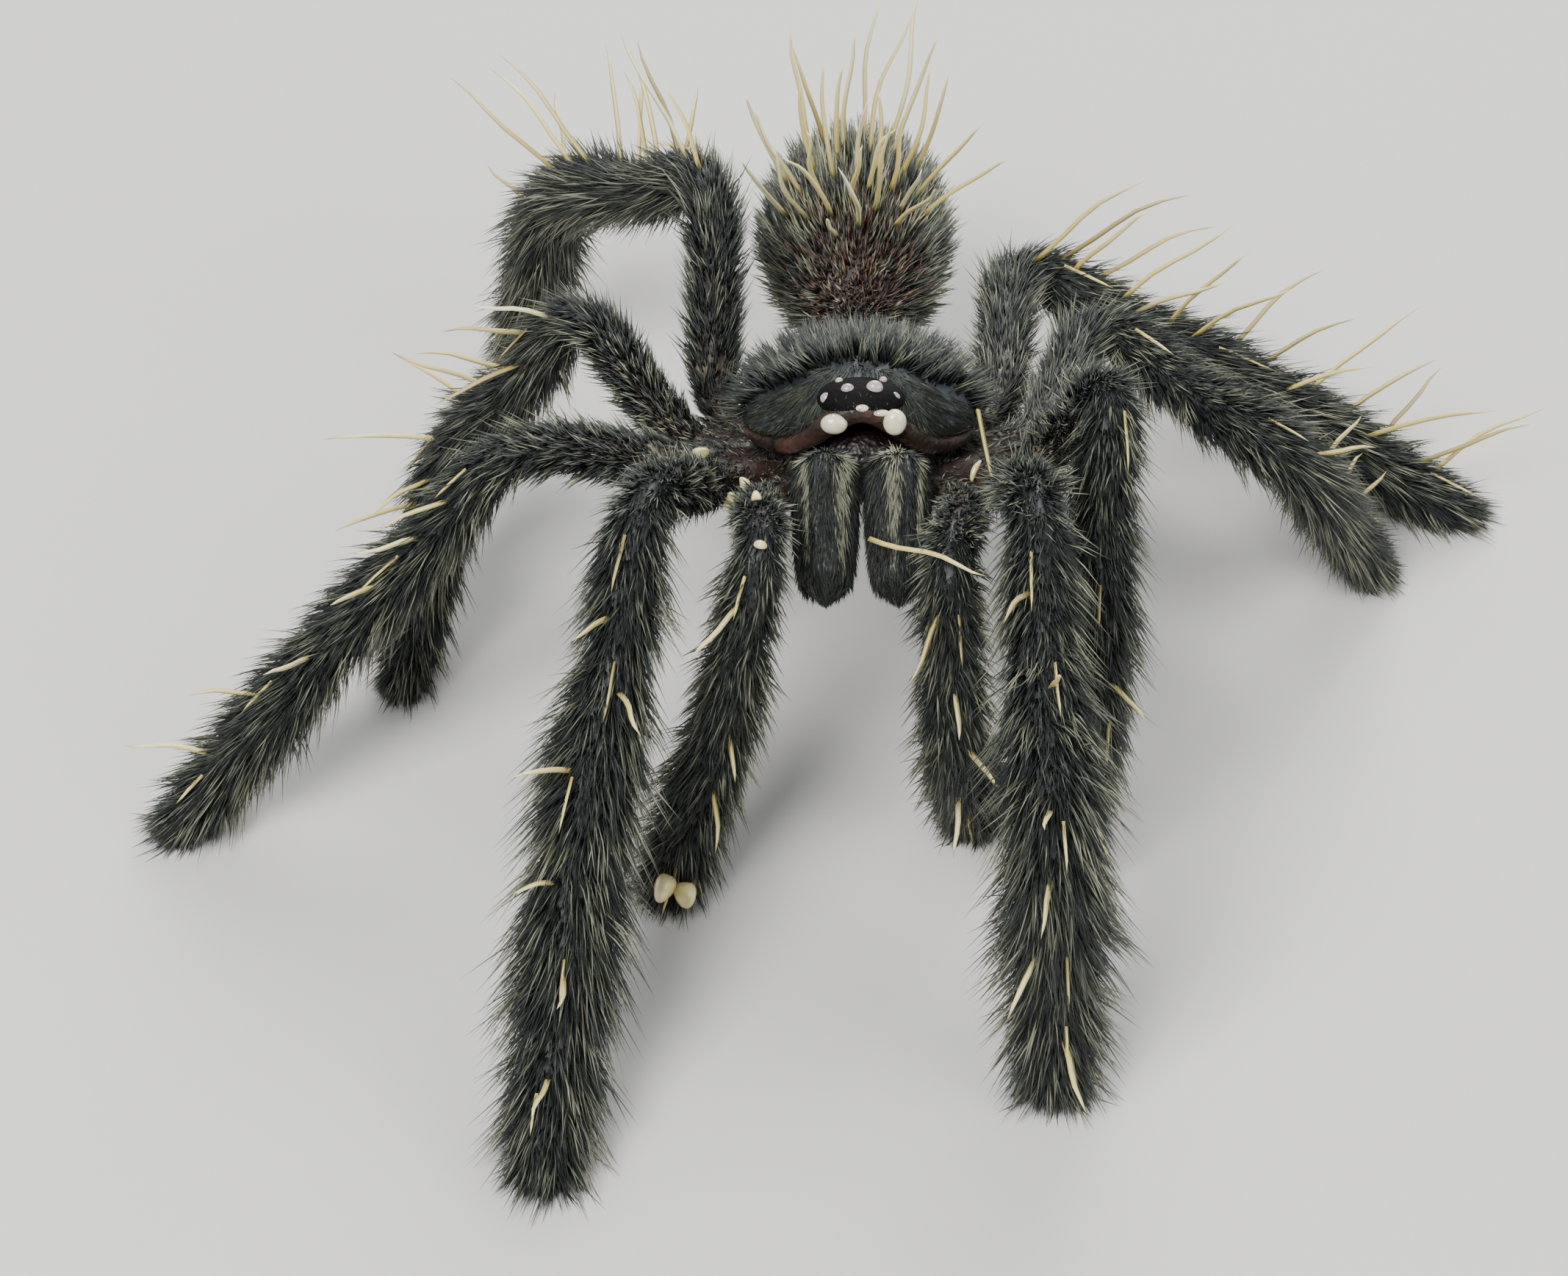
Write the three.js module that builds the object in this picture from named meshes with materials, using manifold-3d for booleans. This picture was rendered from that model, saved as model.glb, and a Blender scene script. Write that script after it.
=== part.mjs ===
// A small hairy tarantula, dried in a standing pose. Millimetres, +Z up. It faces -Y, so its own left is +X.
// Each furry part is a solid of the shape that its fur fills, and the long bristles are spines fused to it.
import * as THREE from "three";
import { mergeVertices } from "three/addons/utils/BufferGeometryUtils.js";
import Module from "manifold-3d";

const wasm = await Module();
wasm.setup();

// ---------------------------------------------------------------- driving dimensions

const BODY_HEIGHT = 9.5; // the middle of the body's underside plane, above the floor
const BODY_PITCH = 23; // degrees, nose up

// The carapace is a dome on a rim. What rises or sinks on it has a height in millimetres. The centre, width
// and length of each such place are shares of its half width and half length, with forwards positive.
const CARAPACE = { length: 9.4, width: 8.4, height: 2.3, rim: 0.3, above: 0.55, narrowing: 0.2 };
const HEAD = { height: 0.9, centre: 0.55, width: 0.55, length: 0.4 };
const GROOVE = { height: -0.35, centre: -0.15, width: 0.14, length: 0.12 };
const FRONT_ARCH = { height: 2.0, centre: 1, width: 0.62, length: 0.45 };
const TUBERCLE = { width: 3.1, length: 1.9, height: 1.5, forward: 3.7, above: 2.4 };

// Eight eyes on the tubercle: to the side, forward and up on the front body, and radius.
const EYES = [
  [0.45, 4.25, 2.85, 0.26],
  [1.05, 4.55, 2.0, 0.42],
  [1.15, 4.1, 2.5, 0.26],
  [0.75, 3.6, 3.05, 0.22],
];

const STERNUM = { length: 5.2, width: 4.6, thickness: 2.2, below: 1.3 }; // with the soft body that lies on it
const PEDICEL = { length: 1.3, radius: 0.75, back: 5.7, above: 0.75 };
const CHELICERA = { length: 5.8, width: 2.1, depth: 2.5, apart: 1.22, forward: 4.33, above: 0.82, droop: 43 };
const FANG = { radius: 0.34, bend: 0.9, from: 70, sweep: 120, centre: [4.6, -0.41] };
const ABDOMEN = { length: 9.3, width: 7.4, height: 6.8, back: 10.95, up: 8.5, tilt: 8, rearSwell: 0.1 };
const SPINNERET = { length: 2.2, radius: 0.36, apart: 0.75, back: 4.4, below: 1.4, spread: 0.5, rise: 0.3 };

// Half axes of the rings on which the coxae start and end, and the palp's own: to the side, forward, up.
const COXA = { start: [2.8, 3.0], end: [5.9, 5.4], below: 0.8 };
const PALP_COXA = { start: [1.3, 3.0, -1.1], end: [3.2, 4.45, -1.0] };
const SOLE = -0.15; // a limb's centre line ends just under the floor, which cuts its sole flat

// Segment lengths are femur, patella, tibia, metatarsus and tarsus.
// Girth is the radius over the fur at the coxa's start and end, the knee, and the ends of the other segments.
// Angle is where a leg's coxa sits, from straight ahead.
const LIMB_KINDS = {
  palp: { segments: [6.0, 3.2, 3.6, 3.4, 3.1], girth: [0.4, 0.6, 0.88, 1.0, 1.1, 1.2, 1.0] },
  leg_1: { segments: [7.8, 4.6, 6.4, 5.7, 4.9], girth: [0.45, 0.84, 1.2, 1.45, 1.8, 1.75, 1.25], angle: 52 },
  leg_2: { segments: [6.9, 3.8, 5.2, 4.7, 4.1], girth: [0.45, 0.84, 1.05, 1.2, 1.35, 1.4, 1.0], angle: 75 },
  leg_3: { segments: [6.4, 3.7, 5.0, 4.6, 4.1], girth: [0.45, 0.84, 1.05, 1.2, 1.35, 1.3, 0.9], angle: 101 },
  leg_4: { segments: [8.2, 3.9, 5.3, 5.2, 4.2], girth: [0.45, 0.84, 1.15, 1.35, 1.5, 1.45, 1.0], angle: 128 },
};

// Where each limb goes: the femur's yaw from straight ahead and its lift, the foot on the floor, and the way
// in which the ankle is pushed out of the straight line from knee to foot.
const LIMBS = [
  { kind: "palp", side: -1, yaw: 2, lift: 28, foot: [-6.7, -13.2], bow: [1, -0.3, 0] },
  { kind: "palp", side: 1, yaw: -4, lift: 23, foot: [4.0, -9.7], bow: [-0.2, -1, 0] },
  { kind: "leg_1", side: -1, yaw: 23, lift: 34, foot: [-10.4, -25.7], bow: [-0.8, 0, 1] },
  { kind: "leg_1", side: 1, yaw: 8, lift: 36, foot: [6.3, -21.8], bow: [0, -0.8, 0.6] },
  { kind: "leg_2", side: -1, yaw: 70, lift: 21, foot: [-23.9, -10.4], bow: [0, 0, 1] },
  { kind: "leg_2", side: 1, yaw: 40, lift: 57, foot: [6.8, -12.5], bow: [0.15, -0.7, 0.6] },
  { kind: "leg_3", side: -1, yaw: 99, lift: 52, foot: [-16.3, -3.6], bow: [-0.3, 0.95, 0] },
  { kind: "leg_3", side: 1, yaw: 153, lift: 1, foot: [19.2, 2.6], bow: [0, -0.6, 0.8] },
  { kind: "leg_4", side: -1, yaw: 172, lift: 51, foot: [-12.9, 14.9], bow: [-0.5, 0.6, 0.6] },
  { kind: "leg_4", side: 1, yaw: 169, lift: 0, foot: [23.0, 5.4], bow: [0, 0, 1] },
];

// The bristles of each limb in that list: first and last station, count, length, and how far the fan of them
// leans backwards, in degrees.
const LIMB_BRISTLES = [
  [2.6, 5.4, 3, 1.8, 0],
  [2.2, 5.4, 4, 2.2, 0],
  [2.6, 5.7, 6, 2.0, 0],
  [2.6, 5.7, 6, 2.0, 0],
  [2.4, 5.6, 6, 2.2, 0],
  [3.2, 5.6, 3, 2.0, 0],
  [2.1, 4.6, 9, 3.2, 20],
  [4.0, 5.4, 4, 2.2, 20],
  [2, 5, 17, 4.0, 20],
  [2, 5.6, 17, 4.2, 20],
];
const BRISTLE = { radius: 0.085, bend: 0.16, fan: 80, rootDepth: 0.45 };

// The abdomen's crest: bristles in rings round the top of the back, widest ring last. Their roots start at a
// share of the abdomen's height, and drop away with the back's curve.
const CREST = { count: 30, length: 5.2, behind: 0.6, spread: 2.7, lean: 30 };
const CREST_ROOTS = { height: 0.42, halfAxes: [3.5, 5] };

// Tufts of fur stand out of the solids, and the skin between them sinks in, as shares of the radius. On a
// limb they start past the coxa and are at full size by the knee.
const LIMB_TUFTS = { out: 0.26, between: 0.065, lean: 0.012, from: 0.12, full: 0.4 };
const ABDOMEN_TUFTS = { out: 0.13, between: 0.03, lean: 0.35 };
const SEGMENT_SWELL = 0.09; // how much fuller a segment is at its middle

const LIMB_SIDES = 8;
const LIMB_RINGS = 24; // four to a segment
const FOLD_LIMIT = 0.44; // the skin's reach towards the inside of a bend, as a share of the bend's radius
const ABDOMEN_SIDES = 18;
const ABDOMEN_RINGS = 14;
const CHELICERA_SIDES = 12;
const CHELICERA_PROFILE = [0, 0.8, 0.97, 1, 0.98, 0.94, 0.86, 0.7, 0];
const CHELICERA_RIDGE = 0.05;

const finish = (color, roughness) => new THREE.MeshStandardMaterial({ color, roughness, metalness: 0 });
const fur = finish(0x2b302f, 0.85);
const shell = finish(0x30383b, 0.45);
const underside = finish(0x35241c, 0.55);
const fangBlack = finish(0x0c0a0a, 0.2);

// ---------------------------------------------------------------- small tools

const degrees = THREE.MathUtils.degToRad;
const UP = new THREE.Vector3(0, 0, 1);
const vec = (x, y, z) => new THREE.Vector3(x, y, z);

// A number from 0 to 1 that looks random and is the same each time for the same k.
function scatter(k) {
  const s = Math.sin(k * 12.9898) * 43758.5453;
  return s - Math.floor(s);
}
const between = (low, high, k) => low + (high - low) * scatter(k);

// A place on the pitched front body: to the side, forward, and up from the middle of its underside plane.
const bodyPitch = degrees(BODY_PITCH);
const forward = vec(0, -Math.cos(bodyPitch), Math.sin(bodyPitch));
const upward = vec(0, Math.sin(bodyPitch), Math.cos(bodyPitch));
function onBody(aside, ahead, above) {
  return vec(aside, 0, BODY_HEIGHT).addScaledVector(forward, ahead).addScaledVector(upward, above);
}

function solid(geometry) {
  const bare = geometry.clone();
  bare.deleteAttribute("normal");
  bare.deleteAttribute("uv");
  const merged = mergeVertices(bare, 1e-4);
  const vertProperties = new Float32Array(merged.attributes.position.array);
  const triVerts = new Uint32Array(merged.index.array);
  return new wasm.Manifold(new wasm.Mesh({ numProp: 3, vertProperties, triVerts }));
}

function geometryOf(manifold) {
  const mesh = manifold.getMesh();
  const positions = new Float32Array(mesh.numVert * 3);
  for (let i = 0; i < mesh.numVert; i++) {
    positions.set(mesh.vertProperties.subarray(i * mesh.numProp, i * mesh.numProp + 3), i * 3);
  }
  const geometry = new THREE.BufferGeometry();
  geometry.setAttribute("position", new THREE.BufferAttribute(positions, 3));
  geometry.setIndex(new THREE.BufferAttribute(new Uint32Array(mesh.triVerts), 1));
  return geometry;
}

const fuse = (geometries) => geometries.map(solid).reduce((whole, piece) => whole.add(piece));

function named(name, geometry, material) {
  const mesh = new THREE.Mesh(geometry, material);
  mesh.name = name;
  return mesh;
}
const sideName = (name, side) => `${name}_${side > 0 ? "left" : "right"}`;

// Moves every vertex of a geometry to where place(x, y, z) says.
function reshape(geometry, place) {
  const position = geometry.getAttribute("position");
  for (let i = 0; i < position.count; i++) {
    const p = place(position.getX(i), position.getY(i), position.getZ(i));
    position.setXYZ(i, p.x, p.y, p.z);
  }
  return geometry;
}

// A round body along a straight axis, from y = 0 to y = 1, closed at both ends. Its radii are evenly spaced,
// and a blunt one keeps a share of its last radius until a tenth of a ring before the end.
function turned(radii, sides, blunt = 0) {
  const last = radii.length - 1;
  const profile = radii.map((r, i) => new THREE.Vector2(i === 0 || i === last ? 0 : r, i / last));
  if (blunt) profile.splice(last, 0, new THREE.Vector2(blunt * radii[last], (last - 0.1) / last));
  return new THREE.LatheGeometry(profile, sides);
}

// The number of the side of a turned body that a vertex lies on.
const sideNumber = (x, z, sides) => Math.round((Math.atan2(x, z) / (2 * Math.PI)) * sides + sides);

// 1 where a tuft of fur stands on a turned body and 0 elsewhere. Tufts are staggered from ring to ring.
function tuft(ring, rings, x, z, sides) {
  const isInside = ring > 0 && ring < rings;
  return isInside && ring % 2 === 0 && (sideNumber(x, z, sides) + ring / 2) % 2 === 0 ? 1 : 0;
}

// A stiff bristle: a three-sided spine that curves towards `curl` as it thins out.
function bristle(base, direction, length, curl) {
  const along = direction.clone().normalize();
  const spine = new THREE.ConeGeometry(BRISTLE.radius, length, 3, 2).translate(0, length / 2, 0);
  const turn = new THREE.Quaternion().setFromUnitVectors(vec(0, 1, 0), along);
  return reshape(spine, (x, y, z) => {
    const bend = BRISTLE.bend * length * (y / length) ** 2;
    return vec(x, y, z).applyQuaternion(turn).addScaledVector(curl, bend).add(base);
  });
}

// ---------------------------------------------------------------- limbs

// The joints of one limb, from the coxa's start to the tip of the tarsus.
function limbJoints({ kind, side, yaw, lift, foot, bow }) {
  const { segments, angle } = LIMB_KINDS[kind];
  const [femur, patella, tibia, metatarsus, tarsus] = segments;
  const aside = Math.sin(degrees(angle ?? 0));
  const ahead = Math.cos(degrees(angle ?? 0));
  const onRing = (ring) => onBody(side * ring[0] * aside, ring[1] * ahead, -COXA.below);
  const isPalp = kind === "palp";
  const start = isPalp ? onBody(side * PALP_COXA.start[0], ...PALP_COXA.start.slice(1)) : onRing(COXA.start);
  const coxaEnd = isPalp ? onBody(side * PALP_COXA.end[0], ...PALP_COXA.end.slice(1)) : onRing(COXA.end);
  const y = degrees(yaw);
  const l = degrees(lift);
  const femurWay = vec(side * Math.sin(y) * Math.cos(l), -Math.cos(y) * Math.cos(l), Math.sin(l));
  const knee = coxaEnd.clone().addScaledVector(femurWay, femur);
  const tip = vec(foot[0], foot[1], SOLE);

  // The ankle closes the triangle of knee, ankle and tip.
  const upper = patella + tibia;
  const lower = metatarsus + tarsus;
  const reach = tip.clone().sub(knee);
  const distance = Math.min(reach.length(), upper + lower - 0.02);
  const straight = reach.clone().normalize();
  const alongReach = (upper ** 2 - lower ** 2 + distance ** 2) / (2 * distance);
  const out = vec(...bow);
  out.addScaledVector(straight, -out.dot(straight)).normalize();
  const offset = Math.sqrt(upper ** 2 - alongReach ** 2);
  const ankle = knee.clone().addScaledVector(straight, alongReach).addScaledVector(out, offset);
  const patellaEnd = knee.clone().lerp(ankle, patella / upper);
  const metatarsusEnd = ankle.clone().lerp(tip, metatarsus / lower);
  return [start, coxaEnd, knee, patellaEnd, ankle, metatarsusEnd, tip];
}

// The limb's centre line with its own sense of up and sideways at each station from 0 (coxa) to 6 (tip).
// Its bend points to the inside of the curve and is one over its radius, taken over a ring each way.
function limbLine(limb) {
  const joints = limbJoints(limb);
  const curve = new THREE.CatmullRomCurve3(joints, false, "centripetal");
  const reach = joints[6].clone().sub(joints[1]);
  const sideways = UP.clone().cross(reach).normalize();
  return (station) => {
    const t = THREE.MathUtils.clamp(station / 6, 0, 1);
    const tangent = curve.getTangent(t);
    const top = tangent.clone().cross(sideways).normalize();
    const before = Math.max(0, t - 1 / LIMB_RINGS);
    const after = Math.min(1, t + 1 / LIMB_RINGS);
    const bend = curve.getTangent(after).sub(curve.getTangent(before));
    bend.divideScalar(curve.getPoint(after).distanceTo(curve.getPoint(before)));
    return { point: curve.getPoint(t), tangent, top, aside: tangent.clone().cross(top), bend };
  };
}

function girthAt(kind, station) {
  const { girth } = LIMB_KINDS[kind];
  const i = Math.min(Math.floor(station), 5);
  const share = station - i;
  const swell = SEGMENT_SWELL * Math.sin(Math.PI * share);
  return THREE.MathUtils.lerp(girth[i], girth[i + 1], share) * (1 + swell);
}

// The skin draws in on the inside of a sharp bend, where it would otherwise fold through itself.
function limbSkin(limb, line) {
  const radii = Array.from({ length: LIMB_RINGS + 1 }, (_, i) => girthAt(limb.kind, (6 * i) / LIMB_RINGS));
  const { out, between: sunk, lean, from, full } = LIMB_TUFTS;
  return reshape(turned(radii, LIMB_SIDES, 0.8), (x, y, z) => {
    const furry = THREE.MathUtils.smoothstep(y, from, full);
    const lock = furry * tuft(Math.round(y * LIMB_RINGS), LIMB_RINGS, x, z, LIMB_SIDES);
    const { point, top, aside, bend } = line(6 * Math.min(1, y + lean * lock));
    const wide = 1 + out * lock - sunk * furry;
    const spoke = aside.multiplyScalar(x * wide).addScaledVector(top, z * wide);
    return point.addScaledVector(spoke, FOLD_LIMIT / Math.max(spoke.dot(bend), FOLD_LIMIT));
  });
}

function limbBristles(limb, line, number) {
  const [first, last, count, length, fan] = LIMB_BRISTLES[number];
  return Array.from({ length: count }, (_, i) => {
    const k = number * 40 + i;
    const station = first + ((last - first) * (i + 0.5 * scatter(k))) / count;
    const { point, tangent, top, aside } = line(station);
    const girth = girthAt(limb.kind, station);
    const roll = degrees(between(-BRISTLE.fan / 2, BRISTLE.fan / 2, k + 0.3) - fan * limb.side);
    const way = top.clone().multiplyScalar(Math.cos(roll)).addScaledVector(aside, Math.sin(roll));
    const base = point.addScaledVector(way, BRISTLE.rootDepth * girth);
    way.addScaledVector(tangent, between(0.1, 0.7, k + 0.6));
    return bristle(base, way, length * between(0.65, 1.15, k + 0.9) + girth / 2, tangent);
  });
}

const FLOOR_BLOCK = solid(new THREE.BoxGeometry(120, 120, 20).translate(0, 0, -10));

function limbMesh(limb, number) {
  const line = limbLine(limb);
  const furred = fuse([limbSkin(limb, line), ...limbBristles(limb, line, number)]);
  return named(sideName(limb.kind, limb.side), geometryOf(furred.subtract(FLOOR_BLOCK)), fur);
}

// ---------------------------------------------------------------- the two halves of the body

// How far one of the carapace's rises or dips lifts it. x and ahead are shares of its half width and length.
function lift({ height, centre, width, length }, x, ahead) {
  return height * Math.exp(-(((ahead - centre) / length) ** 2) - (x / width) ** 2);
}

// The carapace: a low shell with a flat underside that arches over the jaws, a raised head, and the eye
// tubercle on the head's front edge.
function carapaceMesh() {
  const { length, width, height, rim, above, narrowing } = CARAPACE;
  const dome = reshape(new THREE.SphereGeometry(1, 24, 14).rotateX(Math.PI / 2), (x, y, z) => {
    const ahead = -y;
    const narrow = 1 - narrowing * THREE.MathUtils.smoothstep(ahead, 0.1, 1);
    const arch = lift(FRONT_ARCH, x, ahead);
    const crown = height + lift(HEAD, x, ahead) + lift(GROOVE, x, ahead) - arch;
    const rise = arch + z * (z > 0 ? crown : rim);
    return onBody((x * narrow * width) / 2, (ahead * length) / 2, above + rise);
  });
  const { width: w, length: l, height: h, forward: f, above: a } = TUBERCLE;
  const tubercle = reshape(new THREE.SphereGeometry(1, 12, 8), (x, y, z) =>
    onBody((x * w) / 2, f - (y * l) / 2, a + (z * h) / 2),
  );
  return named("carapace", geometryOf(fuse([dome, tubercle, ...eyes()])), shell);
}

function eyes() {
  return EYES.flatMap(([aside, ahead, above, radius]) =>
    [-1, 1].map((side) => {
      const at = onBody(side * aside, ahead, above);
      return new THREE.IcosahedronGeometry(radius, 0).translate(at.x, at.y, at.z);
    }),
  );
}

function sternumMesh() {
  const { length, width, thickness, below } = STERNUM;
  const plate = reshape(new THREE.SphereGeometry(1, 16, 8).rotateX(Math.PI / 2), (x, y, z) =>
    onBody((x * width) / 2, (-y * length) / 2, -below + (z * thickness) / 2),
  );
  return named("sternum", plate, underside);
}

function pedicelMesh() {
  const { length, radius, back, above } = PEDICEL;
  const stalk = reshape(turned([0, radius, radius * 0.8, radius, 0], 10), (x, y, z) =>
    onBody(x, -back - length * (y - 0.5), above + z),
  );
  return named("pedicel", stalk, underside);
}

// The chelicerae's own axes: down their length, and square to it towards the front.
const cheliceraDroop = degrees(CHELICERA.droop);
const downChelicera = forward.clone().multiplyScalar(Math.cos(cheliceraDroop));
downChelicera.addScaledVector(upward, -Math.sin(cheliceraDroop));
const faceOut = forward.clone().multiplyScalar(Math.sin(cheliceraDroop));
faceOut.addScaledVector(upward, Math.cos(cheliceraDroop));

function cheliceraPoint(side, down, aside, out) {
  const root = onBody(side * CHELICERA.apart, CHELICERA.forward, CHELICERA.above);
  return root.addScaledVector(downChelicera, down).addScaledVector(faceOut, out).add(vec(aside, 0, 0));
}

function cheliceraMesh(side) {
  const { length, width, depth } = CHELICERA;
  const shape = reshape(turned(CHELICERA_PROFILE, CHELICERA_SIDES), (x, y, z) => {
    const isRidge = sideNumber(x, z, CHELICERA_SIDES) % 2 === 1;
    const ridged = 1 + CHELICERA_RIDGE * (isRidge ? 1 : -1) * Math.sin(Math.PI * y);
    return cheliceraPoint(side, y * length, (-ridged * x * width) / 2, (ridged * z * depth) / 2);
  });
  return named(sideName("chelicera", side), shape, fur);
}

// A fang leaves the underside of the chelicera's end, and folds back behind it to a point.
function fangMesh(side) {
  const { radius, bend, from, sweep, centre } = FANG;
  const taper = [0, radius, radius, radius * 0.85, radius * 0.6, radius * 0.3, 0];
  const shape = reshape(turned(taper, 8), (x, y, z) => {
    const turn = degrees(from + sweep * y);
    const down = centre[0] + (bend + z) * Math.sin(turn);
    const out = centre[1] - bend + (bend + z) * Math.cos(turn);
    return cheliceraPoint(side, down, -x, out);
  });
  return named(sideName("fang", side), shape, fangBlack);
}

// A place on the abdomen: to the side, back from its middle and up, tilted with it.
function onAbdomen(aside, backwards, above) {
  const tilt = degrees(ABDOMEN.tilt);
  const y = ABDOMEN.back + backwards * Math.cos(tilt) - above * Math.sin(tilt);
  const z = ABDOMEN.up + backwards * Math.sin(tilt) + above * Math.cos(tilt);
  return vec(aside, y, z);
}

function abdomenMesh() {
  const { length, width, height, rearSwell } = ABDOMEN;
  const radii = Array.from({ length: ABDOMEN_RINGS + 1 }, (_, i) => {
    const s = (2 * i) / ABDOMEN_RINGS - 1;
    return Math.sqrt(Math.max(0, 1 - s * s)) * (1 + rearSwell * s);
  });
  const egg = reshape(turned(radii, ABDOMEN_SIDES), (x, y, z) => {
    const lock = tuft(Math.round(y * ABDOMEN_RINGS), ABDOMEN_RINGS, x, z, ABDOMEN_SIDES);
    const wide = 1 - ABDOMEN_TUFTS.between + ABDOMEN_TUFTS.out * lock;
    const backwards = (y - 0.5) * length + ABDOMEN_TUFTS.lean * lock;
    return onAbdomen((wide * x * width) / 2, backwards, (wide * z * height) / 2);
  });
  return named("abdomen", geometryOf(fuse([egg, ...crestBristles()])), fur);
}

function crestBristles() {
  const { count, length, behind, spread, lean } = CREST;
  const { height, halfAxes } = CREST_ROOTS;
  const goldenAngle = degrees(137.5);
  return Array.from({ length: count }, (_, i) => {
    const ring = Math.sqrt((i + 0.5) / count);
    const turn = i * goldenAngle;
    const aside = spread * ring * Math.sin(turn);
    const backwards = behind + spread * ring * Math.cos(turn);
    const fallOff = Math.sqrt(1 - (aside / halfAxes[0]) ** 2 - (backwards / halfAxes[1]) ** 2);
    const root = onAbdomen(aside, backwards, height * ABDOMEN.height * fallOff);
    const tip = degrees(lean) * ring;
    const way = onAbdomen(Math.sin(tip) * Math.sin(turn), Math.sin(tip) * Math.cos(turn), Math.cos(tip));
    way.sub(onAbdomen(0, 0, 0));
    const curl = vec(between(-0.5, 0.5, i + 700), between(-0.5, 0.5, i + 800), -0.1).normalize();
    return bristle(root, way, length * between(0.7, 1.3, i + 900), curl);
  });
}

function spinneretMesh(side) {
  const { length, radius, apart, back, below, spread, rise } = SPINNERET;
  const shape = reshape(turned([0, radius, radius, radius * 0.9, radius * 0.75, 0], 8), (x, y, z) =>
    onAbdomen(side * apart * (1 + spread * y) + x, back + y * length, z - below + rise * y),
  );
  return named(sideName("spinneret", side), shape, underside);
}

// ---------------------------------------------------------------- assembly

const specimen = new THREE.Group();
specimen.add(carapaceMesh(), sternumMesh(), pedicelMesh(), abdomenMesh());
for (const side of [-1, 1]) {
  specimen.add(cheliceraMesh(side), fangMesh(side), spinneretMesh(side));
}
LIMBS.forEach((limb, number) => specimen.add(limbMesh(limb, number)));

// The part's origin is on the floor, under the middle of its box.
const middle = new THREE.Box3().setFromObject(specimen).getCenter(vec(0, 0, 0));
specimen.position.set(-middle.x, -middle.y, 0);

export default specimen;
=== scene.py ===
"""A small hairy tarantula, dried in a standing pose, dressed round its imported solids. Metres, +Z up."""
import math

import bpy
import numpy as np
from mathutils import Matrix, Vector


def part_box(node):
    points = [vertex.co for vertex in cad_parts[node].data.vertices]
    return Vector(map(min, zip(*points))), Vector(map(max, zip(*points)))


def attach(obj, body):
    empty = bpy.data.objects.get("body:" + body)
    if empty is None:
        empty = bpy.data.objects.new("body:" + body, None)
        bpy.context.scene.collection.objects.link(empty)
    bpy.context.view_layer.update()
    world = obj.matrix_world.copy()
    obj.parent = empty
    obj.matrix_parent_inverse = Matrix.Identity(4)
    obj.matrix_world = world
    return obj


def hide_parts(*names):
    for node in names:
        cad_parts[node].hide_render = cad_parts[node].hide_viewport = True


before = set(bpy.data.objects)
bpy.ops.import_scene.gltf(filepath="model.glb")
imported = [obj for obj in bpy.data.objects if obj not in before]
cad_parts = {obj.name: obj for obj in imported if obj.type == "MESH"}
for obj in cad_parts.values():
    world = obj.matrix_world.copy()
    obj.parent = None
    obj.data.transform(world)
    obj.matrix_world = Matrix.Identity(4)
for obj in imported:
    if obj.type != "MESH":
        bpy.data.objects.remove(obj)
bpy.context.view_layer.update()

# ------------------------------------------------------------------------------------------------ carapace
# The carapace is one hard shield over the front body, domed at the head, with a short velvety nap and longer
# wool towards the rear. It sits over the leg bases, and everything in front hangs from its edge.
MM = 0.001
CARAPACE_LENGTH, CARAPACE_WIDTH, CARAPACE_HEIGHT, HEAD_RISE = 9.4 * MM, 8.4 * MM, 2.3 * MM, 0.9 * MM
CARAPACE_UNDERSIDE = 0.55 * MM  # above the front body's middle plane
BODY_PITCH = math.radians(23)
FORWARD = Vector((0, -math.cos(BODY_PITCH), math.sin(BODY_PITCH)))
UPWARD = Vector((0, math.sin(BODY_PITCH), math.cos(BODY_PITCH)))
PEDICEL_BACK, PEDICEL_ABOVE = 5.7 * MM, 0.75 * MM
stalk_low, stalk_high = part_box("pedicel")
BODY_MIDDLE = (stalk_low + stalk_high) / 2 + FORWARD * PEDICEL_BACK - UPWARD * PEDICEL_ABOVE


def on_body(aside, ahead, above):
    """A place on the pitched front body, from the middle of its underside plane. Takes numbers or arrays."""
    ahead, above = np.asarray(ahead, float), np.asarray(above, float)
    aside = np.asarray(aside, float) + 0 * ahead + 0 * above
    place = np.multiply.outer(ahead + 0 * aside, np.array(FORWARD)) + np.multiply.outer(
        above + 0 * aside, np.array(UPWARD)
    )
    place[..., 0] += aside
    return place + np.array(BODY_MIDDLE)


def deselect():
    bpy.ops.object.select_all(action="DESELECT")


def pick(*objects):
    """Selects the given objects alone, and makes the first one active."""
    deselect()
    for obj in objects:
        obj.select_set(True)
    bpy.context.view_layer.objects.active = objects[0]


def points_of(obj):
    flat = np.empty(3 * len(obj.data.vertices))
    obj.data.vertices.foreach_get("co", flat)
    return flat.reshape(-1, 3)


def reshape(obj, places):
    obj.data.vertices.foreach_set("co", np.asarray(places, float).ravel())
    obj.data.update()


def ball(name, segments, rings):
    """A unit ball, to be reshaped."""
    deselect()
    bpy.ops.mesh.primitive_uv_sphere_add(segments=segments, ring_count=rings, radius=1)
    bpy.context.object.name = name
    return bpy.context.object


SAME_PLACE = 1e-7  # points nearer than this are one


def smooth_over(obj):
    """Faces outwards and smooth shading on the one given object."""
    pick(obj)
    bpy.ops.object.mode_set(mode="EDIT")
    bpy.ops.mesh.select_all(action="SELECT")
    bpy.ops.mesh.remove_doubles(threshold=SAME_PLACE)
    bpy.ops.mesh.normals_make_consistent(inside=False)
    bpy.ops.object.mode_set(mode="OBJECT")
    bpy.ops.object.shade_smooth()


def joined(name, objects):
    pick(*objects)
    bpy.ops.object.join()
    objects[0].name = name
    return objects[0]


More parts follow.
